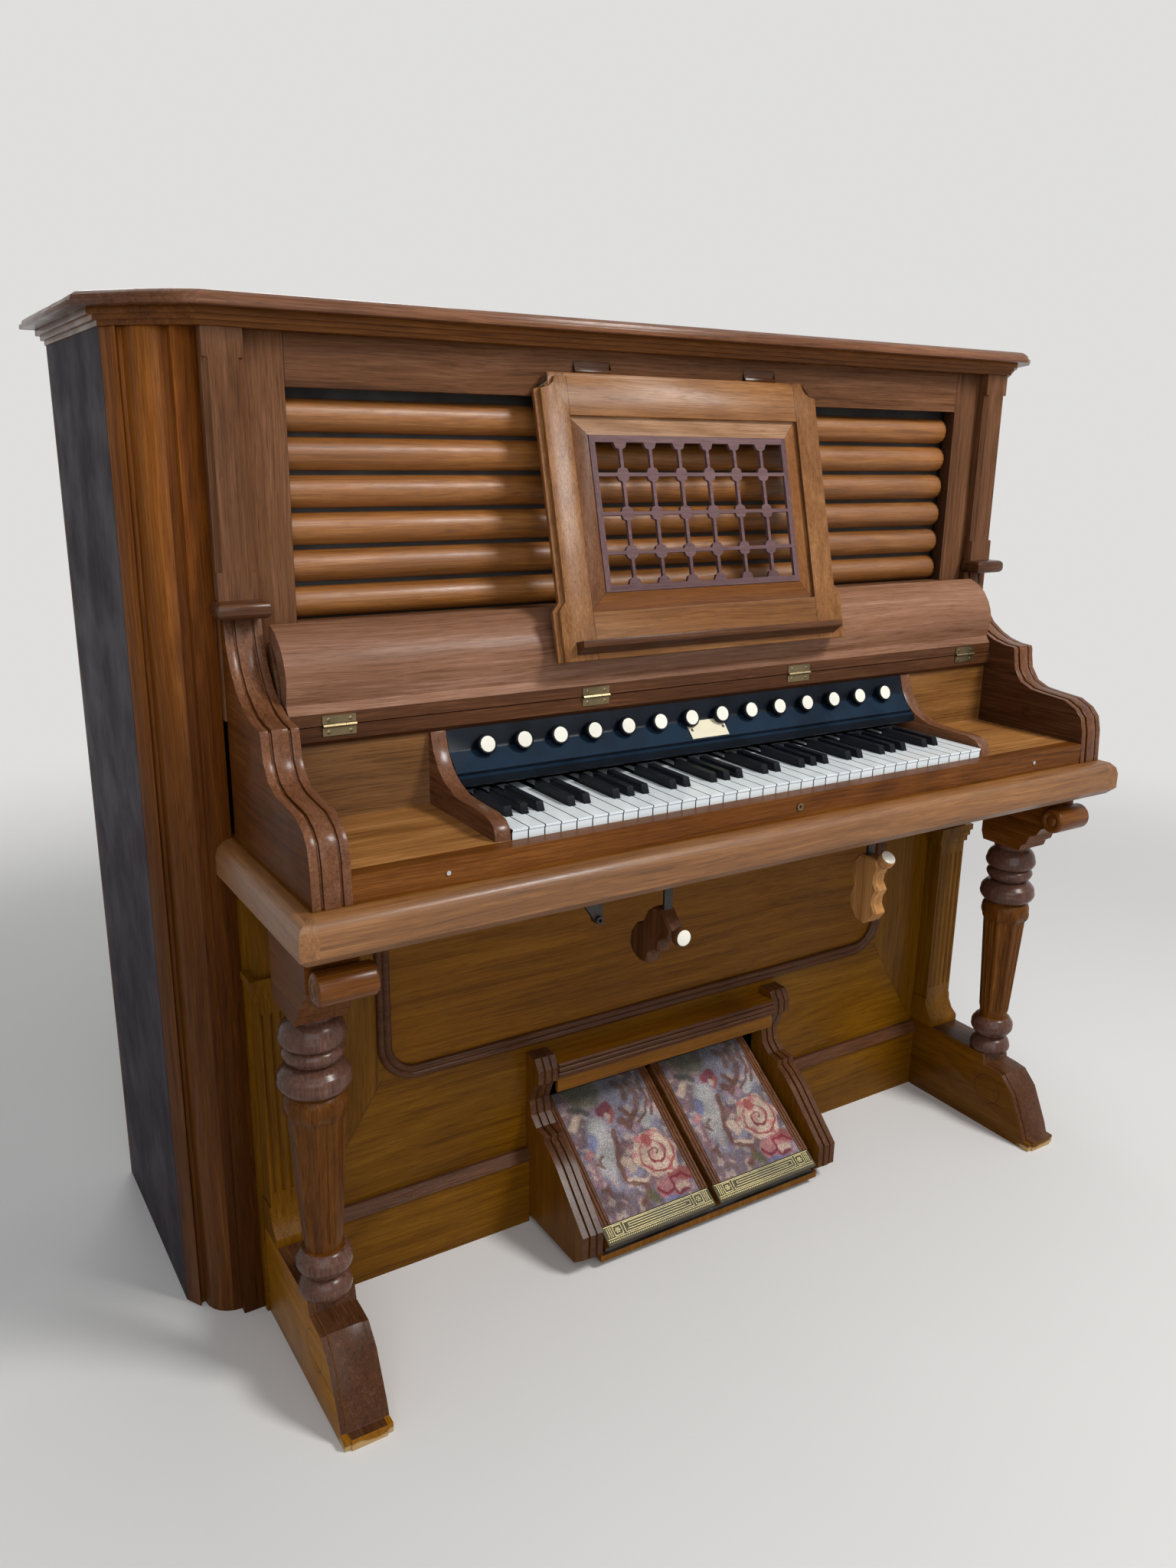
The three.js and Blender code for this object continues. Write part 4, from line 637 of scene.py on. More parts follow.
# Places that tell the faces of one solid apart
BACK_BOARD, BOTTOM_TOP = back(714), 0.04
POST_ROUND = 0.728
ARM_INNER, ARM_EDGE_LOW, ARM_EDGE_BACK = 0.639, 0.7265, back(264)
CHEEK_OUT, CHEEK_LOW, CHEEK_FRONT = 0.4445, 0.7595, back(0.5)
ROLL_LOW, ROLL_HIGH, ROLL_BACK = 0.6025, 0.6455, back(11)
FOOT_EDGE_LOW, FOOT_EDGE_BACK = 0.016, back(240)
LOG_BACKING, FRAME_BACKING = back(297.2), back(286)
CAP_IN, CAP_LOW, CAP_HIGH, CAP_BACK = 0.63, 1.0155, 1.0372, back(264)
PIN_IN, PIN_OUT, PIN_LOW, PIN_HIGH, PIN_BACK = 0.119, 0.181, 1.319, 1.339, back(264.95)
IRON_UNDER, IRON_HALF = BED_UNDER - 0.0002, 0.35
SLIP_FACE, SLIP_PLATE = back(-27.1), 0.1
RAIL_FACE, RAIL_LEAF, RAIL_LEAF_TOP, RAIL_HOLLOW = back(177.95), 0.869, 0.8832, 0.86
FALL_FACE, FALL_LEAF_TOP = back(178.1), 0.8972
FIELD_OUT, FIELD_LOW, FIELD_FRONT, FIELD_BACK = 0.505, 0.31, back(256.5), back(261.5)
PLINTH_FRONT, PLINTH_TOP, PLINTH_RAIL_TOP, PLINTH_RAIL_OUT = back(261.9), 0.118, 0.1345, 0.6182
PILASTER_IN, PILASTER_FOOT = 0.606, 0.141
BOX_OUT, BOX_BACK, BOX_EDGE_LOW, BOX_LEDGE_LOW = 0.2205, back(255), 0.03, 0.25
BOX_IRON_OUT, BOX_IRON_BACK, BOX_IRON_LOW, BOX_IRON_TOP = 0.212, back(98), 0.0235, 0.031
BELLOWS_TOP = 0.499
LEANING, SLANT_TOP = 0.4, 0.832
PLATE_REACH, PLATE_FOOT, PLATE_TOP = 0.03405, 0.8055, 0.8205

paint(
    "case_shell", side_wood,
    (back_wood, lambda f: f.y > BACK_BOARD),
    (bed_wood, lambda f: f.z < BOTTOM_TOP and abs(f.nz) > 0.9),
)
for side in ("left", "right"):
    paint(f"corner_post_{side}", post_wood, (post_round_wood, lambda f: abs(f.x) > POST_ROUND), bevel=EDGE)
    paint(
        f"arm_{side}", arm_wood,
        (arm_edge_wood, lambda f: abs(f.nx) < 0.9 and f.y < ARM_EDGE_BACK and f.z > ARM_EDGE_LOW),
        # Inner faces: painted shade
        (arm_inner_painted_shade_wood, lambda f: abs(f.nx) > 0.9 and abs(f.x) < ARM_INNER),
        bevel=EDGE,
    )
    paint(
        f"key_block_{side}", block_wood,
        # Up-facing faces get painted light
        (block_top_painted_light_wood, lambda f: f.nz > 0.9),
        (cheek_wood, lambda f: abs(f.x) < CHEEK_OUT and (f.z > CHEEK_LOW or f.y < CHEEK_FRONT)),
        bevel=SMALL_EDGE,
    )
    paint(
        f"bracket_{side}", bracket_wood,
        (roll_wood, lambda f: ROLL_LOW < f.z < ROLL_HIGH and f.y < ROLL_BACK),
    )
    paint(f"column_{side}", ring_wood, (column_wood, lambda f: SHAFT[0] < f.z < SHAFT[1]))
    paint(
        f"foot_{side}", foot_wood,
        (edge_wood, lambda f: abs(f.nx) < 0.9 and f.y < FOOT_EDGE_BACK and f.z > FOOT_EDGE_LOW),
        bevel=EDGE,
    )
for name, material in (("cornice_moulding", cornice_wood), ("lid", lid_wood)):
    paint(name, material, bevel=SMALL_EDGE)
# Backing behind the logs: painted shadow
paint("louvres", log_wood, (SHADOW, lambda f: f.y > LOG_BACKING))
paint(
    "upper_frame", frame_wood,
    (dark_turned, lambda f: abs(f.x) > CAP_IN and CAP_LOW < f.z < CAP_HIGH and f.y < CAP_BACK),
    (dark_turned, lambda f: PIN_IN < abs(f.x) < PIN_OUT and f.y < PIN_BACK and PIN_LOW < f.z < PIN_HIGH),
    # Backing behind the frame: painted shadow
    (SHADOW, lambda f: f.y > FRAME_BACKING),
    bevel=EDGE,
)
paint("key_bed", bed_wood, (IRON, lambda f: f.z < IRON_UNDER and abs(f.x) < IRON_HALF))
paint("bed_nosing", nosing_wood, (bed_wood, lambda f: f.nz < -0.9))
paint(
    "key_slip", slip_wood,
    (STEEL, lambda f: f.y < SLIP_FACE and abs(f.x) > SLIP_PLATE),
    (BRASS, lambda f: f.y < SLIP_FACE and abs(f.x) < SLIP_PLATE),
)
paint(
    "hinge_rail", rail_wood,
    (BRASS, lambda f: f.y < RAIL_FACE and f.z > RAIL_LEAF or f.z > RAIL_LEAF_TOP),
    # Undersides in the rail's hollow: painted shadow
    (SHADOW, lambda f: f.nz < -0.5 and f.z < RAIL_HOLLOW),
)
paint(
    "fallboard", fall_wood,
    (mould_wood, lambda f: f.y < FALL_FACE and abs(f.nz) < 0.1),
    (BRASS, lambda f: f.y < RAIL_FACE and f.z < FALL_LEAF_TOP),
)
paint("fallboard_leaf", leaf_wood, bevel=EDGE)


def before_desk(f):
    """How far a face stands out in front of the desk."""
    return (DESK_TOP.y - f.y) * math.cos(DESK_LEAN) + (f.z - DESK_TOP.z) * math.sin(DESK_LEAN)


paint("music_desk", desk_wood, (mould_wood, lambda f: before_desk(f) > DESK_THICK + 0.0003), bevel=EDGE)
paint("desk_lattice", lattice_wood)
paint(
    "knee_panel", knee_wood,
    (mould_wood, lambda f: FIELD_FRONT < f.y < FIELD_BACK and abs(f.x) < FIELD_OUT and f.z > FIELD_LOW),
    (
        plinth_rail_wood,
        lambda f: f.z < PLINTH_RAIL_TOP and f.y < PLINTH_FRONT and abs(f.x) < PLINTH_RAIL_OUT,
    ),
    (plinth_wood, lambda f: f.z < PLINTH_TOP),
    (pilaster_wood, lambda f: abs(f.x) > PILASTER_IN and f.y < PLINTH_FRONT and f.z > PILASTER_FOOT),
)
paint(
    "pedal_box", box_wood,
    (edge_wood, lambda f: abs(f.x) > BOX_OUT and abs(f.nx) < 0.9 and f.y < BOX_BACK and f.z > BOX_EDGE_LOW),
    (ledge_wood, lambda f: abs(f.x) < BOX_OUT and f.z > BOX_LEDGE_LOW),
    (IRON, lambda f: abs(f.x) < BOX_IRON_OUT and f.y < BOX_IRON_BACK and BOX_IRON_LOW < f.z < BOX_IRON_TOP),
)
paint("wind_chest", chest_wood, (leather, lambda f: f.z < BELLOWS_TOP))
paint(
    "stop_board", LACQUER,
    # Slanted ledge under the stops: painted blue reflection
    (LEDGE_PAINTED_REFLECTION, lambda f: f.nz > LEANING and f.z < SLANT_TOP),
    (PLATE, lambda f: f.reach < PLATE_REACH and PLATE_FOOT < f.z < PLATE_TOP),
)
for number in range(STOP_COUNT):
    paint(f"stop_{number + 1}", EBONY)


def along_treadle(f):
    """(place along the board, height above its hinge line) of a point of a treadle."""
    dy, dz = f.y - TREADLE_Y, f.z - TREADLE_Z
    tilt = TREADLE_SLOPE
    return dy * math.cos(tilt) + dz * math.sin(tilt), -dy * math.sin(tilt) + dz * math.cos(tilt)


HAIR = 0.0001


def on_carpet(f):
    along, high = along_treadle(f)
    return along > HEEL_LONG + HAIR and high > TREADLE_TOP + HAIR * 2


def on_strip(f):
    far = abs(f.x)
    inner, outer = TREADLE_IN + STRIP_WIDE + HAIR * 2, TREADLE_OUT - STRIP_WIDE - HAIR * 2
    return on_carpet(f) and (far < inner or far > outer)


def on_heel(f):
    along, high = along_treadle(f)
    lip = high > TREADLE_TOP - HEEL_LIP and along < 0
    return along < HEEL_LONG + HAIR and (lip or high > TREADLE_TOP)


for side in ("left", "right"):
    paint(f"treadle_{side}", board_wood, (carpet_base, on_carpet), (reed_wood, on_strip), (PATINA, on_heel))

# Sharps and naturals: a sharp is what stands within its own narrow band
SHARP_STEPS = (0, 1, 2, 4, 5)
SHARP_HALF, SHARP_LOW, SHARP_FRONT = 0.0053, 0.7515, back(49.9)
KEY_WOOD, KEY_REAR, KEY_FRONTS = 0.7517, back(150), back(5)
SHARP_AT = [(i + 1) * NATURAL_PITCH - KEYS_HALF for i in range(NATURAL_COUNT - 1) if i % 7 in SHARP_STEPS]


def is_sharp(f):
    near = min(abs(f.x - x) for x in SHARP_AT)
    return near < SHARP_HALF and f.y > SHARP_FRONT and f.z > SHARP_LOW


def is_key_wood(f):
    return f.z < KEY_WOOD or f.y > KEY_REAR and f.z < KEY_TOP - 0.0001 and not is_sharp(f)


def is_front(f):
    return abs(f.nz) < 0.5 and f.y < KEY_FRONTS


paint("keyboard", KEY_IVORY, (KEY_FRONT, is_front), (EBONY, is_sharp), (chest_wood, is_key_wood))
for name in NODES:
    if name.startswith("key_") and name not in ("key_bed", "key_slip", "key_block_left", "key_block_right"):
        if name.endswith("_sharp"):
            paint(name, EBONY)
        else:
            paint(name, KEY_IVORY, (KEY_FRONT, is_front))

# Knee levers: centre of the pin, length of the arm and tilt of the paddle for each side
LEVERS = {"left": (-0.152, 0.062, 0.78, lever_painted_shade), "right": (0.238, 0.045, 0.0, lever_pale)}
LEVER_Y, LEVER_Z = back(40), 0.647
for side, (x, arm, tilt, material) in LEVERS.items():
    paint(
        f"knee_lever_{side}", material,
        (IRON, lambda f, x=x, arm=arm: abs(f.x - x) < 0.0072 and f.z > LEVER_Z - arm + 0.0135),
    )


def shown(name, data):
    """A new object in the scene."""
    made = bpy.data.objects.new(name, data)
    bpy.context.scene.collection.objects.link(made)
    return made


def piece(name, vertices, faces, material, body):
    """A mesh of the scene's own that moves with a body."""
    mesh = bpy.data.meshes.new(name)
    mesh.from_pydata([tuple(v) for v in vertices], [], [tuple(f) for f in faces])
    work = bmesh.new()
    work.from_mesh(mesh)
    bmesh.ops.recalc_face_normals(work, faces=work.faces)
    work.to_mesh(mesh)
    work.free()
    mesh.materials.append(material)
    made = shown(name, mesh)
    finish_edges(made, weld=False)
    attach(made, body)
    return made


def loops(rings, closed=False, capped=True):
    """Faces between rings of equally many points, with the two ends capped or joined."""
    count, size = len(rings), len(rings[0])
    vertices = [v for ring in rings for v in ring]
    faces = []
    for r in range(count if closed else count - 1):
        for k in range(size):
            a, b = r * size + k, r * size + (k + 1) % size
            c, d = (r + 1) % count * size + (k + 1) % size, (r + 1) % count * size + k
            faces.append((a, b, c, d))
    if capped and not closed:
        faces.append(tuple(range(size))[::-1])
        faces.append(tuple((count - 1) * size + k for k in range(size)))
    return vertices, faces


def lathe(profile, matrix, steps=40):
    """A profile of (radius, height) turned about Z, then placed."""
    def ring(radius, height):
        turns = [2 * math.pi * k / steps for k in range(steps)]
        return [matrix @ Vector((radius * math.cos(t), radius * math.sin(t), height)) for t in turns]

    return loops([ring(radius, height) for radius, height in profile])


def gather(shapes):
    """Several (vertices, faces) as one."""
    vertices, faces = [], []
    for more, rings in shapes:
        start = len(vertices)
        vertices += more
        faces += [tuple(i + start for i in f) for f in rings]
    return vertices, faces


def bar(section, start, end):
    """A section of (y, z) points carried along X from start to end."""
    return loops([[Vector((x, y, z)) for y, z in section] for x in (start, end)])


# Stop knobs with their bare porcelain discs
KNOB_RADIUS, KNOB_BACK = 0.0141, 0.0049
KNOB = [
    (0.007, KNOB_BACK), (0.0128, KNOB_BACK), (KNOB_RADIUS, KNOB_BACK + 0.0012),
    (KNOB_RADIUS, KNOB_LONG - 0.0018), (0.0137, KNOB_LONG - 0.0008), (0.0127, KNOB_LONG + 0.0002),
    (0.0117, KNOB_LONG + 0.0002), (0.0108, KNOB_LONG + 0.00005), (0.0001, KNOB_LONG + 0.00005),
]
DISC = [(0.0107, 0.00005), (0.0107, 0.0001), (0.0104, 0.00015), (0.007, 0.0002), (0.0001, 0.0002)]
knob_turn = Matrix.Rotation(math.pi / 2 - STOP_TILT, 4, "X")
for number in range(STOP_COUNT):
    centre = STOP_FACE + Vector(((number - (STOP_COUNT - 1) / 2) * STOP_PITCH, 0, 0))
    knob_place = Matrix.Translation(centre) @ knob_turn
    body = f"stop {number + 1}"
    piece(f"stop_rim_{number + 1}", *lathe(KNOB, knob_place), EBONY, body)
    disc_place = knob_place @ Matrix.Translation((0, 0, KNOB_LONG))
    piece(f"stop_disc_{number + 1}", *lathe(DISC, disc_place), IVORY, body)

# Round bosses of the knee levers with white faces
BOSS = [
    (0.0095, 0.0002), (0.0095, 0.0038), (0.0133, 0.0058), (0.0133, 0.0142), (0.0122, 0.0163),
    (0.0001, 0.0163),
]
BOSS_DISC = [(0.0113, 0.0163), (0.0113, 0.0169), (0.0096, 0.0176), (0.0001, 0.0182)]
BOSS_PLACE, BOSS_TILT = Matrix.Translation((0, -0.0279, 0.006)), 0.87
for side, (x, arm, tilt, material) in LEVERS.items():
    boss_place = (
        Matrix.Translation((x, LEVER_Y, LEVER_Z - arm)) @ Matrix.Rotation(tilt, 4, "X")
        @ BOSS_PLACE @ Matrix.Rotation(math.pi / 2 - BOSS_TILT, 4, "X")
    )
    piece(f"boss_{side}", *lathe(BOSS, boss_place), material, f"{side} knee lever")
    piece(f"boss_disc_{side}", *lathe(BOSS_DISC, boss_place), IVORY, f"{side} knee lever")

# Rolls in front of the brackets, with a groove and a ring in each end
ROLL_PLACE, ROLL_LONG, ROLL_RADIUS = Vector((0.608, back(-8.8), 0.624)), 0.076, 0.0213
ROLL_END = [
    (0.0001, -0.0008), (0.0045, -0.0007), (0.0064, -0.0003), (0.0082, 0.0012), (0.0095, 0.0018),
    (0.0112, 0.0012), (0.0128, 0.0001), (0.0145, -0.0003), (0.0172, 0.0004), (0.0196, 0.0016),
    (0.0209, 0.0031), (ROLL_RADIUS, 0.0048),
]
for side, sign in SIDES:
    far = [(r, ROLL_LONG - t) for r, t in reversed(ROLL_END)]
    roll_place = Matrix.Translation((sign * ROLL_PLACE.x, ROLL_PLACE.y, ROLL_PLACE.z))
    roll_place = roll_place @ Matrix.Rotation(sign * math.pi / 2, 4, "Y")
    piece(f"roll_{side}", *lathe(ROLL_END + far, roll_place, 48), roll_wood, "case")

# Front columns: rounder rings and hollower flutes over the faceted solid
COLUMN_X, COLUMN_Y = 0.653, back(96)
COLUMN = [
    (0.72, 0), (0.74, 0.035), (0.46, 0.07), (0.74, 0.095), (0.8, 0.12), (0.72, 0.148), (0.52, 0.168),
    (0.76, 0.64), (0.89, 0.69), (0.72, 0.73), (0.98, 0.75), (1, 0.78), (0.92, 0.803), (0.6, 0.825),
    (0.86, 0.862), (0.7, 0.885), (0.89, 0.9), (0.9, 0.93), (0.63, 0.975), (0.66, 1),
]
FLUTES, FLUTE_FOOT, FLUTE_TOP, FLUTE_OUT, FLUTE_DEEP, FLUTE_HALF = 8, 0.19, 0.7, 0.0016, 0.0034, 0.38
SHORT_RUN, SWELL = 0.03, 0.13
SKIN_LIFT, SKIN_CLEAR = 0.0003, 0.0002


def column_outline():
    """The profile with its short stretches swelled into beads and its long one in small steps."""
    made = []
    for (r0, z0), (r1, z1) in zip(COLUMN, COLUMN[1:]):
        start = Vector((r0 * COLUMN_RADIUS, z0 * COLUMN_HIGH))
        end = Vector((r1 * COLUMN_RADIUS, z1 * COLUMN_HIGH))
        run = end - start
        out = Vector((run.y, -run.x))
        swell, steps = (SWELL, 6) if run.length < SHORT_RUN else (0.0, 40)
        for k in range(steps):
            t = k / steps
            made.append(start + run * t + out * (swell * 4 * t * (1 - t)))
    made.append(Vector((COLUMN[-1][0] * COLUMN_RADIUS, COLUMN_HIGH)))
    return made


def column_skin(side, sign, steps=96):
    """Rings of the turned form, kept just outside the faceted solid everywhere."""
    mesh = NODES[f"column_{side}"].data
    solid = BVHTree.FromPolygons([v.co for v in mesh.vertices], [p.vertices for p in mesh.polygons])
    reach = 0.08
    rings = []
    for point in column_outline():
        axis = Vector((sign * COLUMN_X, COLUMN_Y, COLUMN_FOOT + point.y))
        share = point.y / COLUMN_HIGH
        foot = min(1.0, max(0.0, (share - FLUTE_FOOT) / 0.012))
        top = min(1.0, max(0.0, (FLUTE_TOP - 0.012 - share) / 0.03))
        inside = math.sqrt(foot) * math.sqrt(top)
        ring = []
        for k in range(steps):
            turn = 2 * math.pi * k / steps
            across = (turn * FLUTES / (2 * math.pi) + 0.5) % 1 - 0.5
            hollow = max(0.0, 1 - (across / FLUTE_HALF) ** 2)
            radius = point.x + SKIN_LIFT + inside * (FLUTE_OUT - FLUTE_DEEP * math.sqrt(hollow))
            outward = Vector((sign * math.cos(turn), math.sin(turn), 0))
            distance = solid.ray_cast(axis + outward * reach, -outward, reach)[3]
            if distance is not None:
                radius = max(radius, reach - distance + SKIN_CLEAR)
            ring.append(axis + outward * radius)
        rings.append(ring)
    return loops(rings)


for side, sign in SIDES:
    skin = piece(f"column_skin_{side}", *column_skin(side, sign), ring_wood, "case")
    skin.data.materials.append(column_wood)
    for polygon in skin.data.polygons:
        polygon.material_index = 1 if SHAFT[0] < polygon.center.z < SHAFT[1] else 0

# Raised moulding of the knee panel: two beads with a shallow groove between them
BEADS = [
    (-0.0006, 0.0), (-0.0006, 0.0045), (0.0004, 0.0063), (0.0024, 0.0078), (0.0045, 0.0083),
    (0.0067, 0.0077), (0.0085, 0.0062), (0.0094, 0.0053), (0.0103, 0.0062), (0.0125, 0.0077),
    (0.0148, 0.0083), (0.0172, 0.0077), (0.0194, 0.0062), (0.0205, 0.0045), (0.0207, 0.0),
]


def moulding_ring(inward, out, steps=14):
    """Points round the panel at one place of the section."""
    radius = MOULD_ROUND - inward
    half, low, high = MOULD_HALF - MOULD_ROUND, MOULD_LOW + MOULD_ROUND, MOULD_HIGH - MOULD_ROUND
    corners = [(half, low, -90), (half, high, 0), (-half, high, 90), (-half, low, 180)]
    made = []
    for x, z, start in corners:
        for k in range(steps + 1):
            turn = math.radians(start + 90 * k / steps)
            made.append(Vector((x + radius * math.cos(turn), KNEE_Y - out, z + radius * math.sin(turn))))
    return made


piece("knee_moulding", *loops([moulding_ring(*point) for point in BEADS], capped=False), mould_wood, "case")

# Beads along the ledge over the treadles
LEDGE_FRONT, LEDGE_LOW, LEDGE_HALF = back(222), 0.263, 0.2198
LEDGE_BEADS = ((0.2872, 0.0034), (0.2788, 0.0048), (0.2702, 0.0036), (0.2650, 0.0016))


def bead_section(y, z, radius, steps=10):
    turns = [math.pi / 2 + math.pi * k / steps for k in range(steps + 1)]
    return [(y + radius * math.cos(t), z + radius * math.sin(t)) for t in turns]


beads = [
    bar(bead_section(LEDGE_FRONT + 0.0005, z, radius), -LEDGE_HALF, LEDGE_HALF)
    for z, radius in LEDGE_BEADS
]
piece("ledge_beads", *gather(beads), mould_wood, "case")

# Board that hangs from the ledge, in front of the treadles' upper ends
HANGS = 0.238
fascia = [
    (LEDGE_FRONT + 0.002, LEDGE_LOW), (LEDGE_FRONT + 0.002, HANGS + 0.0015), (LEDGE_FRONT + 0.0035, HANGS),
    (LEDGE_FRONT + 0.0085, HANGS), (LEDGE_FRONT + 0.0085, LEDGE_LOW),
]
piece("ledge_fascia", *bar(fascia, -LEDGE_HALF, LEDGE_HALF), ledge_wood, "case")

# Small block on the inner side of each arm
BLOCK_FRONT, BLOCK_BACK, BLOCK_ROUND = back(79), back(91), 0.002
BLOCK_FOOT, BLOCK_SHOULDER, BLOCK_TOP = KEY_TOP + 0.0135, KEY_TOP + 0.028, KEY_TOP + 0.0295
BLOCK_IN, BLOCK_OUT = 0.6348, 0.6381
section = [
    (BLOCK_FRONT, BLOCK_FOOT), (BLOCK_BACK, BLOCK_FOOT), (BLOCK_BACK, BLOCK_SHOULDER),
    (BLOCK_BACK - BLOCK_ROUND, BLOCK_TOP), (BLOCK_FRONT + BLOCK_ROUND, BLOCK_TOP),
    (BLOCK_FRONT, BLOCK_SHOULDER),
]
for side, sign in SIDES:
    piece(f"arm_block_{side}", *bar(section, sign * BLOCK_IN, sign * BLOCK_OUT), edge_wood, "case")

# Screws in the leaves of the fallboard hinges
HINGE_FACE, HINGE_Z, HINGE_SHARES, FALL_HALF = back(176.5), 0.8836, (0.29874, 0.89905), 0.634
SCREW_UP, SCREW_OUT = 0.0078, 0.0145
SCREW = [(0.0026, -0.0006), (0.0026, 0.0002), (0.0017, 0.0007), (0.0001, 0.0008)]
for body, height in (("case", -SCREW_UP), ("fallboard", SCREW_UP)):
    shapes = []
    for share in HINGE_SHARES:
        for sign in (-1, 1):
            for end in (-SCREW_OUT, SCREW_OUT):
                place = Vector((sign * share * FALL_HALF + end, HINGE_FACE, HINGE_Z + height))
                turn = Matrix.Translation(place) @ Matrix.Rotation(math.pi / 2, 4, "X")
                shapes.append(lathe(SCREW, turn, 16))
    piece(f"hinge_screws_{body}", *gather(shapes), BRASS, body)

# Bare name plate over the slanted ledge under the stops, with a pin near each end
SLANT_FOOT = Vector((0, back(150.99), 0.80600))
SLANT_HEAD = Vector((0, back(172.97), 0.83002))
PLATE_HALF, PLATE_MARGIN, PLATE_LIFT, PLATE_OFF, PLATE_PIN = 0.034, 0.0016, 0.0018, 0.0002, 0.029
up = (SLANT_HEAD - SLANT_FOOT).normalized()
out = Vector((0, -up.z, up.y))
foot, head = SLANT_FOOT + up * PLATE_MARGIN, SLANT_HEAD - up * PLATE_MARGIN
corners = [foot, head, head + out * PLATE_LIFT, foot + out * PLATE_LIFT]
section = [((corner + out * PLATE_OFF).y, (corner + out * PLATE_OFF).z) for corner in corners]
piece("plate_face", *bar(section, -PLATE_HALF, PLATE_HALF), PLATE, "case")
pins = []
for sign in (-1, 1):
    middle = (SLANT_FOOT + SLANT_HEAD) / 2 + out * PLATE_LIFT
    place = Matrix.Translation(middle + Vector((sign * PLATE_PIN, 0, 0)))
    pins.append(lathe(SCREW, place @ Matrix.Rotation(math.atan2(-out.y, out.z), 4, "X"), 16))
piece("plate_pins", *gather(pins), IRON, "case")


def on_board(x, along, high):
    """Place on a treadle, from metres along it and above its hinge line."""
    cos, sin = math.cos(TREADLE_SLOPE), math.sin(TREADLE_SLOPE)
    return Vector((x, TREADLE_Y + along * cos - high * sin, TREADLE_Z + along * sin + high * cos))


# Heel plates: raised lines of a long key pattern, a rosette near each end and a row of beads
HEEL_WIDE = TREADLE_OUT - TREADLE_IN
HEEL_FACE = TREADLE_TOP + HEEL_THICK
LINE_HALF, LINE_HIGH = 0.0006, 0.0008


def line_bump(start, end, half=LINE_HALF):
    """A raised line between two places (across, along) of the plate."""
    a, b = Vector(start), Vector(end)
    run = (b - a).normalized()
    side = Vector((-run.y, run.x))
    a, b = a - run * half, b + run * half
    base = [(a + side * half), (b + side * half), (b - side * half), (a - side * half)]
    thin = half * 0.45
    ridge = [
        a + (side + run) * thin, b + (side - run) * thin, b + (-side - run) * thin, a + (-side + run) * thin,
    ]
    return [[(p.x, p.y, -0.0002) for p in base], [(p.x, p.y, LINE_HIGH) for p in ridge]]


def route(*places):
    return [line_bump(a, b) for a, b in zip(places, places[1:])]


def frame_lines(x0, x1, y0, y1):
    return route((x0, y0), (x1, y0), (x1, y1), (x0, y1), (x0, y0))


RIM_IN, RIM_LOW, RIM_HIGH = 0.003, 0.0066, 0.0263
BAND_LOW, BAND_HIGH, STRIPES = 0.0092, 0.0243, (0.0065, 0.0100, 0.0135)
PANEL_IN, PANEL_OUT, FRET_IN = 0.0175, 0.0325, 0.0375
ROSETTE_IN, ROSETTE_AT, PETAL_OUT = 0.025, 0.0168, 0.0033
BEAD_COUNT, BEAD_IN, BEAD_AT = 56, 0.004, 0.0033


def heel_lines():
    low, high = BAND_LOW, BAND_HIGH
    made = route((RIM_IN, RIM_HIGH), (HEEL_WIDE - RIM_IN, RIM_HIGH))
    made += route((RIM_IN, RIM_LOW), (HEEL_WIDE - RIM_IN, RIM_LOW))
    half = []
    for x in STRIPES:
        half += route((x, low), (x, high))
    half += frame_lines(PANEL_IN, PANEL_OUT, low, high)
    made += half + [[[(HEEL_WIDE - x, y, h) for x, y, h in ring][::-1] for ring in bump] for bump in half]
    made += frame_lines(FRET_IN, HEEL_WIDE - FRET_IN, low, high)
    made += route(
        (0.0420, 0.0130), (HEEL_WIDE - 0.042, 0.0130), (HEEL_WIDE - 0.042, 0.0205), (0.0460, 0.0205),
        (0.0460, 0.0168), (HEEL_WIDE - 0.050, 0.0168),
    )
    return made


def heel_dots():
    """(across, along, radius, height) of the beads and of the rosettes."""
    run = HEEL_WIDE - BEAD_IN * 2
    made = [(BEAD_IN + run * k / (BEAD_COUNT - 1), BEAD_AT, 0.0014, 0.0012) for k in range(BEAD_COUNT)]
    for middle in (ROSETTE_IN, HEEL_WIDE - ROSETTE_IN):
        made.append((middle, ROSETTE_AT, 0.0017, 0.0018))
        for k in range(6):
            turn = math.pi * k / 3
            x, y = PETAL_OUT * math.cos(turn), PETAL_OUT * math.sin(turn)
            made.append((middle + x, ROSETTE_AT + y, 0.0015, 0.0009))
    return made


DOME = [(1.0, -0.15), (0.92, 0.4), (0.7, 0.75), (0.35, 0.95), (0.01, 1.0)]


def heel_relief(start):
    shapes = []
    for bump in heel_lines():
        rings = [[on_board(start + x, y, HEEL_FACE + h) for x, y, h in ring] for ring in bump]
        shapes.append(loops(rings))
    tilt = Matrix.Rotation(TREADLE_SLOPE, 4, "X")
    for x, y, radius, height in heel_dots():
        place = Matrix.Translation(on_board(start + x, y, HEEL_FACE)) @ tilt
        shapes.append(lathe([(r * radius, h * height) for r, h in DOME], place, 10))
    return gather(shapes)


# Treadle carpets: a worn floral weave, drawn from strokes on a mauve ground
CARPET_GAP = 0.0003
CARPET_WIDE = TREADLE_OUT - TREADLE_IN - (STRIP_WIDE + CARPET_GAP) * 2
CARPET_LONG = TREADLE_LONG - HEEL_LONG - CARPET_GAP * 2
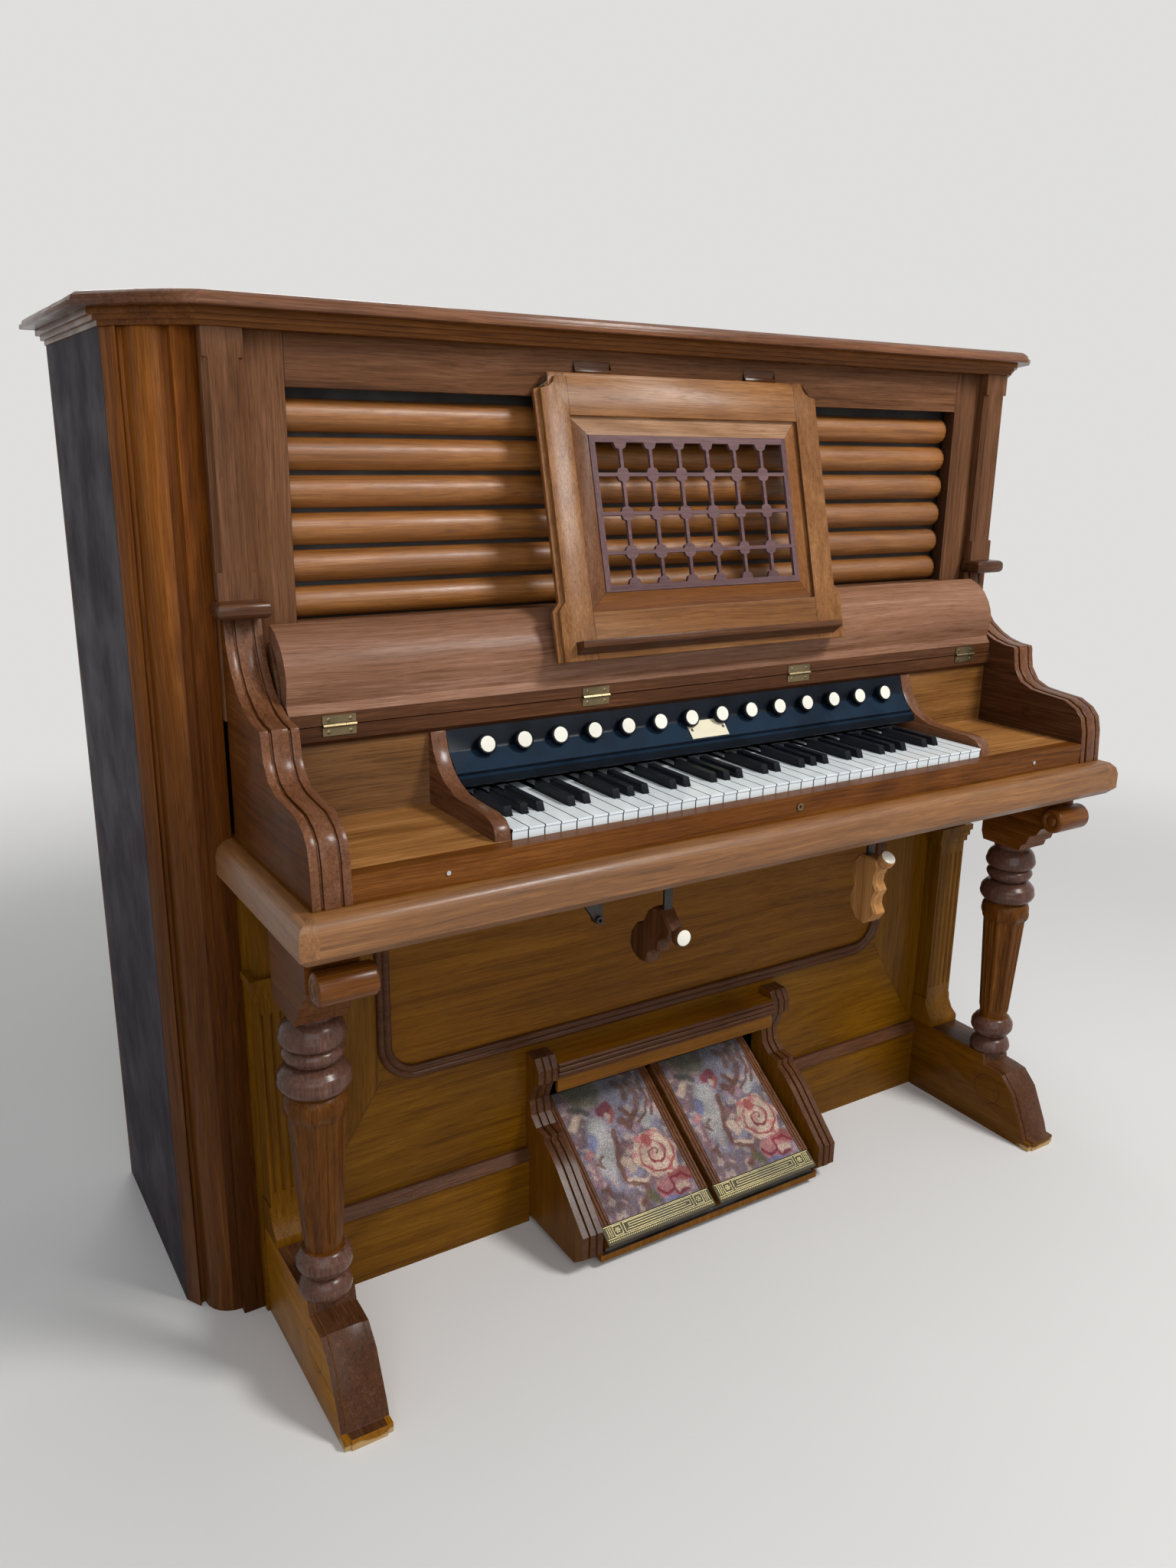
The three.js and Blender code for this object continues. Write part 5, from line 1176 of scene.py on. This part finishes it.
# The third of these tones is a dark thread in one stroke and the tone of the painted shadow over the
# carpet's upper end
MAUVE, LILAC, DARK_THREAD_AND_SHADE = (0.165, 0.125, 0.145), (0.240, 0.225, 0.290), (0.060, 0.058, 0.050)
CREAM, PINK, BLOSSOM = (0.560, 0.420, 0.330), (0.460, 0.190, 0.190), (0.330, 0.095, 0.085)
WINE, BROWN, MOSS = (0.200, 0.022, 0.040), (0.155, 0.070, 0.050), (0.120, 0.110, 0.060)
SKY, HAZE = (0.160, 0.170, 0.300), (0.420, 0.410, 0.400)

# Each stroke: tone, half width, softness and its points across and up the carpet, in shares of the width
STROKES = [
    (HAZE, 0.10, 0.09, (0.24, 0.50), (0.28, 0.70), (0.30, 0.86)),
    (HAZE, 0.05, 0.05, (0.80, 0.78), (0.90, 0.86)),
    (LILAC, 0.13, 0.10, (0.50, 1.02), (0.62, 1.22)),
    (MOSS, 0.13, 0.10, (0.22, 1.28), (0.34, 1.22)),
    (CREAM, 0.04, 0.05, (0.06, 0.94), (0.14, 1.02)),
    (DARK_THREAD_AND_SHADE, 0.03, 0.03, (0.10, 1.12), (0.22, 1.08), (0.26, 1.04)),
    (SKY, 0.04, 0.05, (0.20, 0.80), (0.16, 0.72)),
    (BROWN, 0.026, 0.02, (0.44, 0.80), (0.40, 0.64), (0.36, 0.50), (0.33, 0.34)),
    (BROWN, 0.030, 0.02, (0.33, 0.34), (0.40, 0.25), (0.52, 0.25), (0.50, 0.13), (0.40, 0.06)),
    (CREAM, 0.016, 0.014, (0.36, 0.31), (0.46, 0.29), (0.54, 0.26)),
    (CREAM, 0.050, 0.03, (0.45, 0.42), (0.43, 0.48)),
    (BROWN, 0.022, 0.02, (0.08, 0.28), (0.14, 0.30), (0.12, 0.22)),
    (BROWN, 0.016, 0.015, (0.13, 0.54), (0.18, 0.50), (0.17, 0.58), (0.22, 0.60)),
    (PINK, 0.020, 0.03, (0.05, 0.62), (0.12, 0.66)),
    (BROWN, 0.030, 0.02, (0.62, 0.98), (0.68, 0.88), (0.62, 0.80), (0.56, 0.88)),
    (BROWN, 0.024, 0.02, (0.80, 1.22), (0.84, 1.08), (0.78, 0.94), (0.70, 0.86)),
    (BROWN, 0.014, 0.014, (0.93, 1.20), (0.93, 1.02), (0.86, 0.88), (0.74, 0.80)),
    (BROWN, 0.012, 0.012, (0.99, 1.10), (0.97, 0.96), (0.90, 0.84)),
    (BROWN, 0.030, 0.03, (0.66, 1.26), (0.74, 1.18), (0.72, 1.08)),
    (WINE, 0.055, 0.03, (0.40, 1.02), (0.48, 1.04)),
    (BLOSSOM, 0.030, 0.03, (0.52, 0.98), (0.46, 0.92)),
    (CREAM, 0.028, 0.02, (0.44, 0.96), (0.45, 0.95)),
    (PINK, 0.090, 0.05, (0.68, 0.12), (0.86, 0.16)),
    (CREAM, 0.030, 0.03, (0.80, 0.10), (0.90, 0.10)),
    (BLOSSOM, 0.060, 0.03, (0.84, 0.24), (0.96, 0.20)),
    (WINE, 0.014, 0.012, (0.60, 0.14), (0.68, 0.06), (0.76, 0.10), (0.80, 0.04), (0.90, 0.06)),
    (WINE, 0.014, 0.012, (0.76, 0.10), (0.78, 0.20), (0.90, 0.22), (0.98, 0.14)),
    (MOSS, 0.040, 0.04, (0.50, 0.12), (0.54, 0.06)),
    (SKY, 0.020, 0.03, (0.76, 0.02), (0.62, 0.02)),
]
ROSE_AT, ROSE_REACH = (0.745, 0.47), 0.235


def ease(value, low, high):
    share = min(1.0, max(0.0, (value - low) / (high - low)))
    return share * share * (3 - 2 * share)


def from_route(u, v, points):
    """Distance from a place to a run of points."""
    best = 9.0
    for (x0, y0), (x1, y1) in zip(points, points[1:]):
        dx, dy = x1 - x0, y1 - y0
        t = min(1.0, max(0.0, ((u - x0) * dx + (v - y0) * dy) / (dx * dx + dy * dy)))
        best = min(best, math.hypot(u - x0 - dx * t, v - y0 - dy * t))
    return best


def carpet_tone(u, v):
    """Colour of the weave at a place in shares of the carpet's width, with painted shadow over its upper
    end.
    """
    stir = noise.noise_vector(Vector((u * 9, v * 9, 3.0))) * 0.02
    stir += noise.noise_vector(Vector((u * 28, v * 28, 7.0))) * 0.010
    u, v = u + stir.x, v + stir.y
    patch = noise.noise(Vector((u * 4.2, v * 4.2, 1.0)))
    tone = blend(MAUVE, LILAC, ease(patch, -0.3, 0.35))
    tone = blend(tone, PINK, 0.3 * ease(noise.noise(Vector((u * 7, v * 7, 5.0))), 0.0, 0.4))
    speck = noise.noise(Vector((u * 15, v * 15, 11.0)))
    tone = blend(tone, CREAM, 0.5 * ease(speck, 0.08, 0.34))
    tone = blend(tone, BROWN, 0.5 * ease(-speck, 0.12, 0.4))
    for stroke_tone, half, soft, *points in STROKES:
        away = from_route(u, v, points)
        tone = blend(tone, stroke_tone, 0.85 * (1 - ease(away, half - soft * 0.4, half + soft * 0.6)))
    x, y = u - ROSE_AT[0], v - ROSE_AT[1]
    radius, turn = math.hypot(x, y), math.atan2(y, x)
    edge = ROSE_REACH * (1 + 0.07 * math.sin(turn * 6 + 1))
    flower = 1 - ease(radius, edge - 0.01, edge + 0.01)
    petal = blend(CREAM, PINK, ease(noise.noise(Vector((x * 14, y * 14, 9.0))), 0.0, 0.5))
    coil = (radius / ROSE_REACH * 2.6 - turn / (2 * math.pi) + 0.2) % 1
    line = 1 - ease(abs(coil - 0.5), 0.09, 0.17)
    low = ease(-y, -0.12, 0.1)
    petal = blend(petal, blend(WINE, BLOSSOM, ease(radius, 0.06, 0.16)), line * (0.6 + 0.4 * low))
    tone = blend(tone, petal, flower)
    bud = 1 - ease(math.hypot(x + 0.02, y - 0.15), 0.045, 0.07)
    tone = blend(tone, BLOSSOM, bud)
    # Painted shadow over the carpet's upper end
    return blend(tone, DARK_THREAD_AND_SHADE, 0.45 * ease(v, 0.85, 1.3))


def carpet(side, start, stitch=0.0013):
    """A stitched slab over a treadle's carpet, with a colour in each stitch."""
    across = round(CARPET_WIDE / stitch)
    up = round(CARPET_LONG / stitch)
    top, foot = TREADLE_TOP + CARPET_THICK + 0.0014, TREADLE_TOP + CARPET_THICK + 0.0001
    vertices, faces, tones = [], [], []

    def spot(i, j):
        return start + CARPET_WIDE * i / across, HEEL_LONG + CARPET_GAP + CARPET_LONG * j / up

    for j in range(up + 1):
        for i in range(across + 1):
            x, along = spot(i, j)
            edge = i in (0, across) or j in (0, up)
            nap = noise.noise(Vector((x * 900, along * 900, 2.0))) * 0.00025
            vertices.append(on_board(x, along, top - 0.0006 if edge else top + nap))
            tones.append(carpet_tone(i / across, j / up * CARPET_LONG / CARPET_WIDE))
    row = across + 1
    for j in range(up):
        for i in range(across):
            a = j * row + i
            faces.append((a, a + 1, a + row + 1, a + row))
    rim = list(range(row)) + [j * row + across for j in range(1, up + 1)]
    rim += [up * row + i for i in reversed(range(across))] + [j * row for j in reversed(range(1, up))]
    low = len(vertices)
    for index in rim:
        vertices.append(on_board(*spot(index % row, index // row), foot))
        tones.append(tones[index])
    for k in range(len(rim)):
        after = (k + 1) % len(rim)
        faces.append((rim[after], rim[k], low + k, low + after))
    faces.append(tuple(low + k for k in range(len(rim)))[::-1])
    made = piece(f"carpet_{side}", vertices, faces, CARPET, f"{side} treadle")
    layer = made.data.color_attributes.new("stitches", "FLOAT_COLOR", "POINT")
    for k, tone in enumerate(tones):
        layer.data[k].color = (*tone, 1)


def carpet_weave():
    g = Graph("carpet")
    place = g.place()
    drawn = g.node("ShaderNodeVertexColor", layer_name="stitches").outputs["Color"]
    cells = g.node("ShaderNodeTexVoronoi")
    g.put(cells.inputs["Vector"], place)
    g.put(cells.inputs["Scale"], 620)
    loop = g.step(cells.outputs["Distance"], 0.1, 0.75, 1.0, 0.0)
    speck = g.step(g.noise(place, 900, 2, 0.7), 0.3, 0.7, 0.55, 1.5)
    worn = g.step(g.noise(place, 26, 3, 0.6), 0.35, 0.7, 0.8, 1.2)
    level = g.times(speck, worn)
    # Painted shade between the pile loops, darker where the loops meet
    level = g.times(level, g.step(loop, 0.0, 1.0, 0.6, 1.1))
    tone = g.tinted(drawn, g.join(level, level, level))
    g.bump(loop, 0.6, 0.0006)
    return g.shade(
        Base_Color=tone, Roughness=0.92, Specular_IOR_Level=0.2, Sheen_Weight=0.1, Sheen_Roughness=0.5,
    )


CARPET = carpet_weave()

# The same weave on every run
noise.seed_set(7)
for side, start in (("left", -TREADLE_OUT), ("right", TREADLE_IN)):
    piece(f"heel_relief_{side}", *heel_relief(start), OLD_BRASS, f"{side} treadle")
    carpet(side, start + STRIP_WIDE + CARPET_GAP)


# Camera at the photograph's place, with the lens set for the picture's long side
FOCAL_PIXELS, PICTURE_LONG, SENSOR = 1560, 2048, 36
CAMERA_PLACE, CAMERA_TURNS = (-1.0826, -1.5630, 1.2247), (32.153, 15.805, -0.803)
camera = shown("camera", bpy.data.cameras.new("camera"))
camera.data.sensor_fit = "AUTO"
camera.data.sensor_width = SENSOR
camera.data.lens = FOCAL_PIXELS / PICTURE_LONG * SENSOR
camera.data.clip_end = 60
yaw, pitch, roll = (math.radians(a) for a in CAMERA_TURNS)
forward = Vector((math.sin(yaw) * math.cos(pitch), math.cos(yaw) * math.cos(pitch), -math.sin(pitch)))
right = Vector((math.cos(yaw), -math.sin(yaw), 0))
down = forward.cross(right)
rolled_right = math.cos(roll) * right + math.sin(roll) * down
rolled_down = -math.sin(roll) * right + math.cos(roll) * down
turn = Matrix((rolled_right, -rolled_down, -forward)).transposed()
camera.matrix_world = Matrix.Translation(CAMERA_PLACE) @ turn.to_4x4()
bpy.context.scene.camera = camera


def lamp(name, place, aim, size, power, color=(1, 1, 1)):
    data = bpy.data.lights.new(name, "AREA")
    data.size = size
    data.energy = power
    data.color = color
    made = shown(name, data)
    made.location = place
    made.rotation_euler = (Vector(aim) - Vector(place)).to_track_quat("-Z", "Y").to_euler()


lamp("key_light", (1.35, -2.3, 3.3), (0, 0, 0.75), 0.9, 112, (1.0, 0.99, 0.97))
lamp("fill_light", (-1.6, -3.4, 2.2), (0, 0, 0.7), 3.0, 60, (0.97, 0.98, 1.0))
lamp("back_light", (0.5, 3.6, 2.8), (0, 0, 0.8), 2.0, 45)

BACKDROP = (0.74, 0.735, 0.725)


def seen_rays(g):
    """1 for the rays that look at the background, straight or in metal and glass."""
    rays = g.node("ShaderNodeLightPath").outputs
    seen = g.most(rays["Is Camera Ray"], rays["Is Glossy Ray"])
    return g.most(seen, rays["Is Transmission Ray"])


def floor_material():
    """Pale floor that fades into the backdrop a few steps away from the organ."""
    g = Graph("floor")
    place = g.place()
    tone = g.mix(g.noise(place, 1.5, 3), (0.66, 0.655, 0.645), (0.70, 0.695, 0.685))
    g.shade(Base_Color=tone, Roughness=0.85, Specular_IOR_Level=0.2)
    flat = g.stretch(place, (1, 1, 0))
    fade = g.step(g.vector("LENGTH", flat, out="Value"), 1.7, 3.6)
    glow = g.node("ShaderNodeEmission")
    g.put(glow.inputs["Color"], BACKDROP)
    choice = g.node("ShaderNodeMixShader")
    g.put(choice.inputs[0], g.times(fade, seen_rays(g)))
    g.put(choice.inputs[1], g.shader.outputs[0])
    g.put(choice.inputs[2], glow.outputs[0])
    g.put(g.out.inputs["Surface"], choice.outputs[0])
    return g.material


def stage():
    """A pale floor, and a pale background for what looks past it."""
    reach = 14
    corners = [(-reach, -reach, 0), (reach, -reach, 0), (reach, reach, 0), (-reach, reach, 0)]
    mesh = bpy.data.meshes.new("floor")
    mesh.from_pydata(corners, [], [(0, 1, 2, 3)])
    mesh.materials.append(floor_material())
    shown("floor", mesh)
    world = bpy.data.worlds.new("world")
    bpy.context.scene.world = world
    world.use_nodes = True
    world.node_tree.nodes.clear()
    g = Graph("world", world.node_tree)
    lit = g.node("ShaderNodeBackground")
    g.put(lit.inputs["Color"], (0.97, 0.98, 1.0))
    g.put(lit.inputs["Strength"], 0.32)
    backdrop = g.node("ShaderNodeBackground")
    g.put(backdrop.inputs["Color"], BACKDROP)
    choice = g.node("ShaderNodeMixShader")
    g.put(choice.inputs[0], seen_rays(g))
    g.put(choice.inputs[1], lit.outputs[0])
    g.put(choice.inputs[2], backdrop.outputs[0])
    g.put(g.node("ShaderNodeOutputWorld").inputs["Surface"], choice.outputs[0])


stage()
bpy.context.scene.view_settings.view_transform = "Standard"
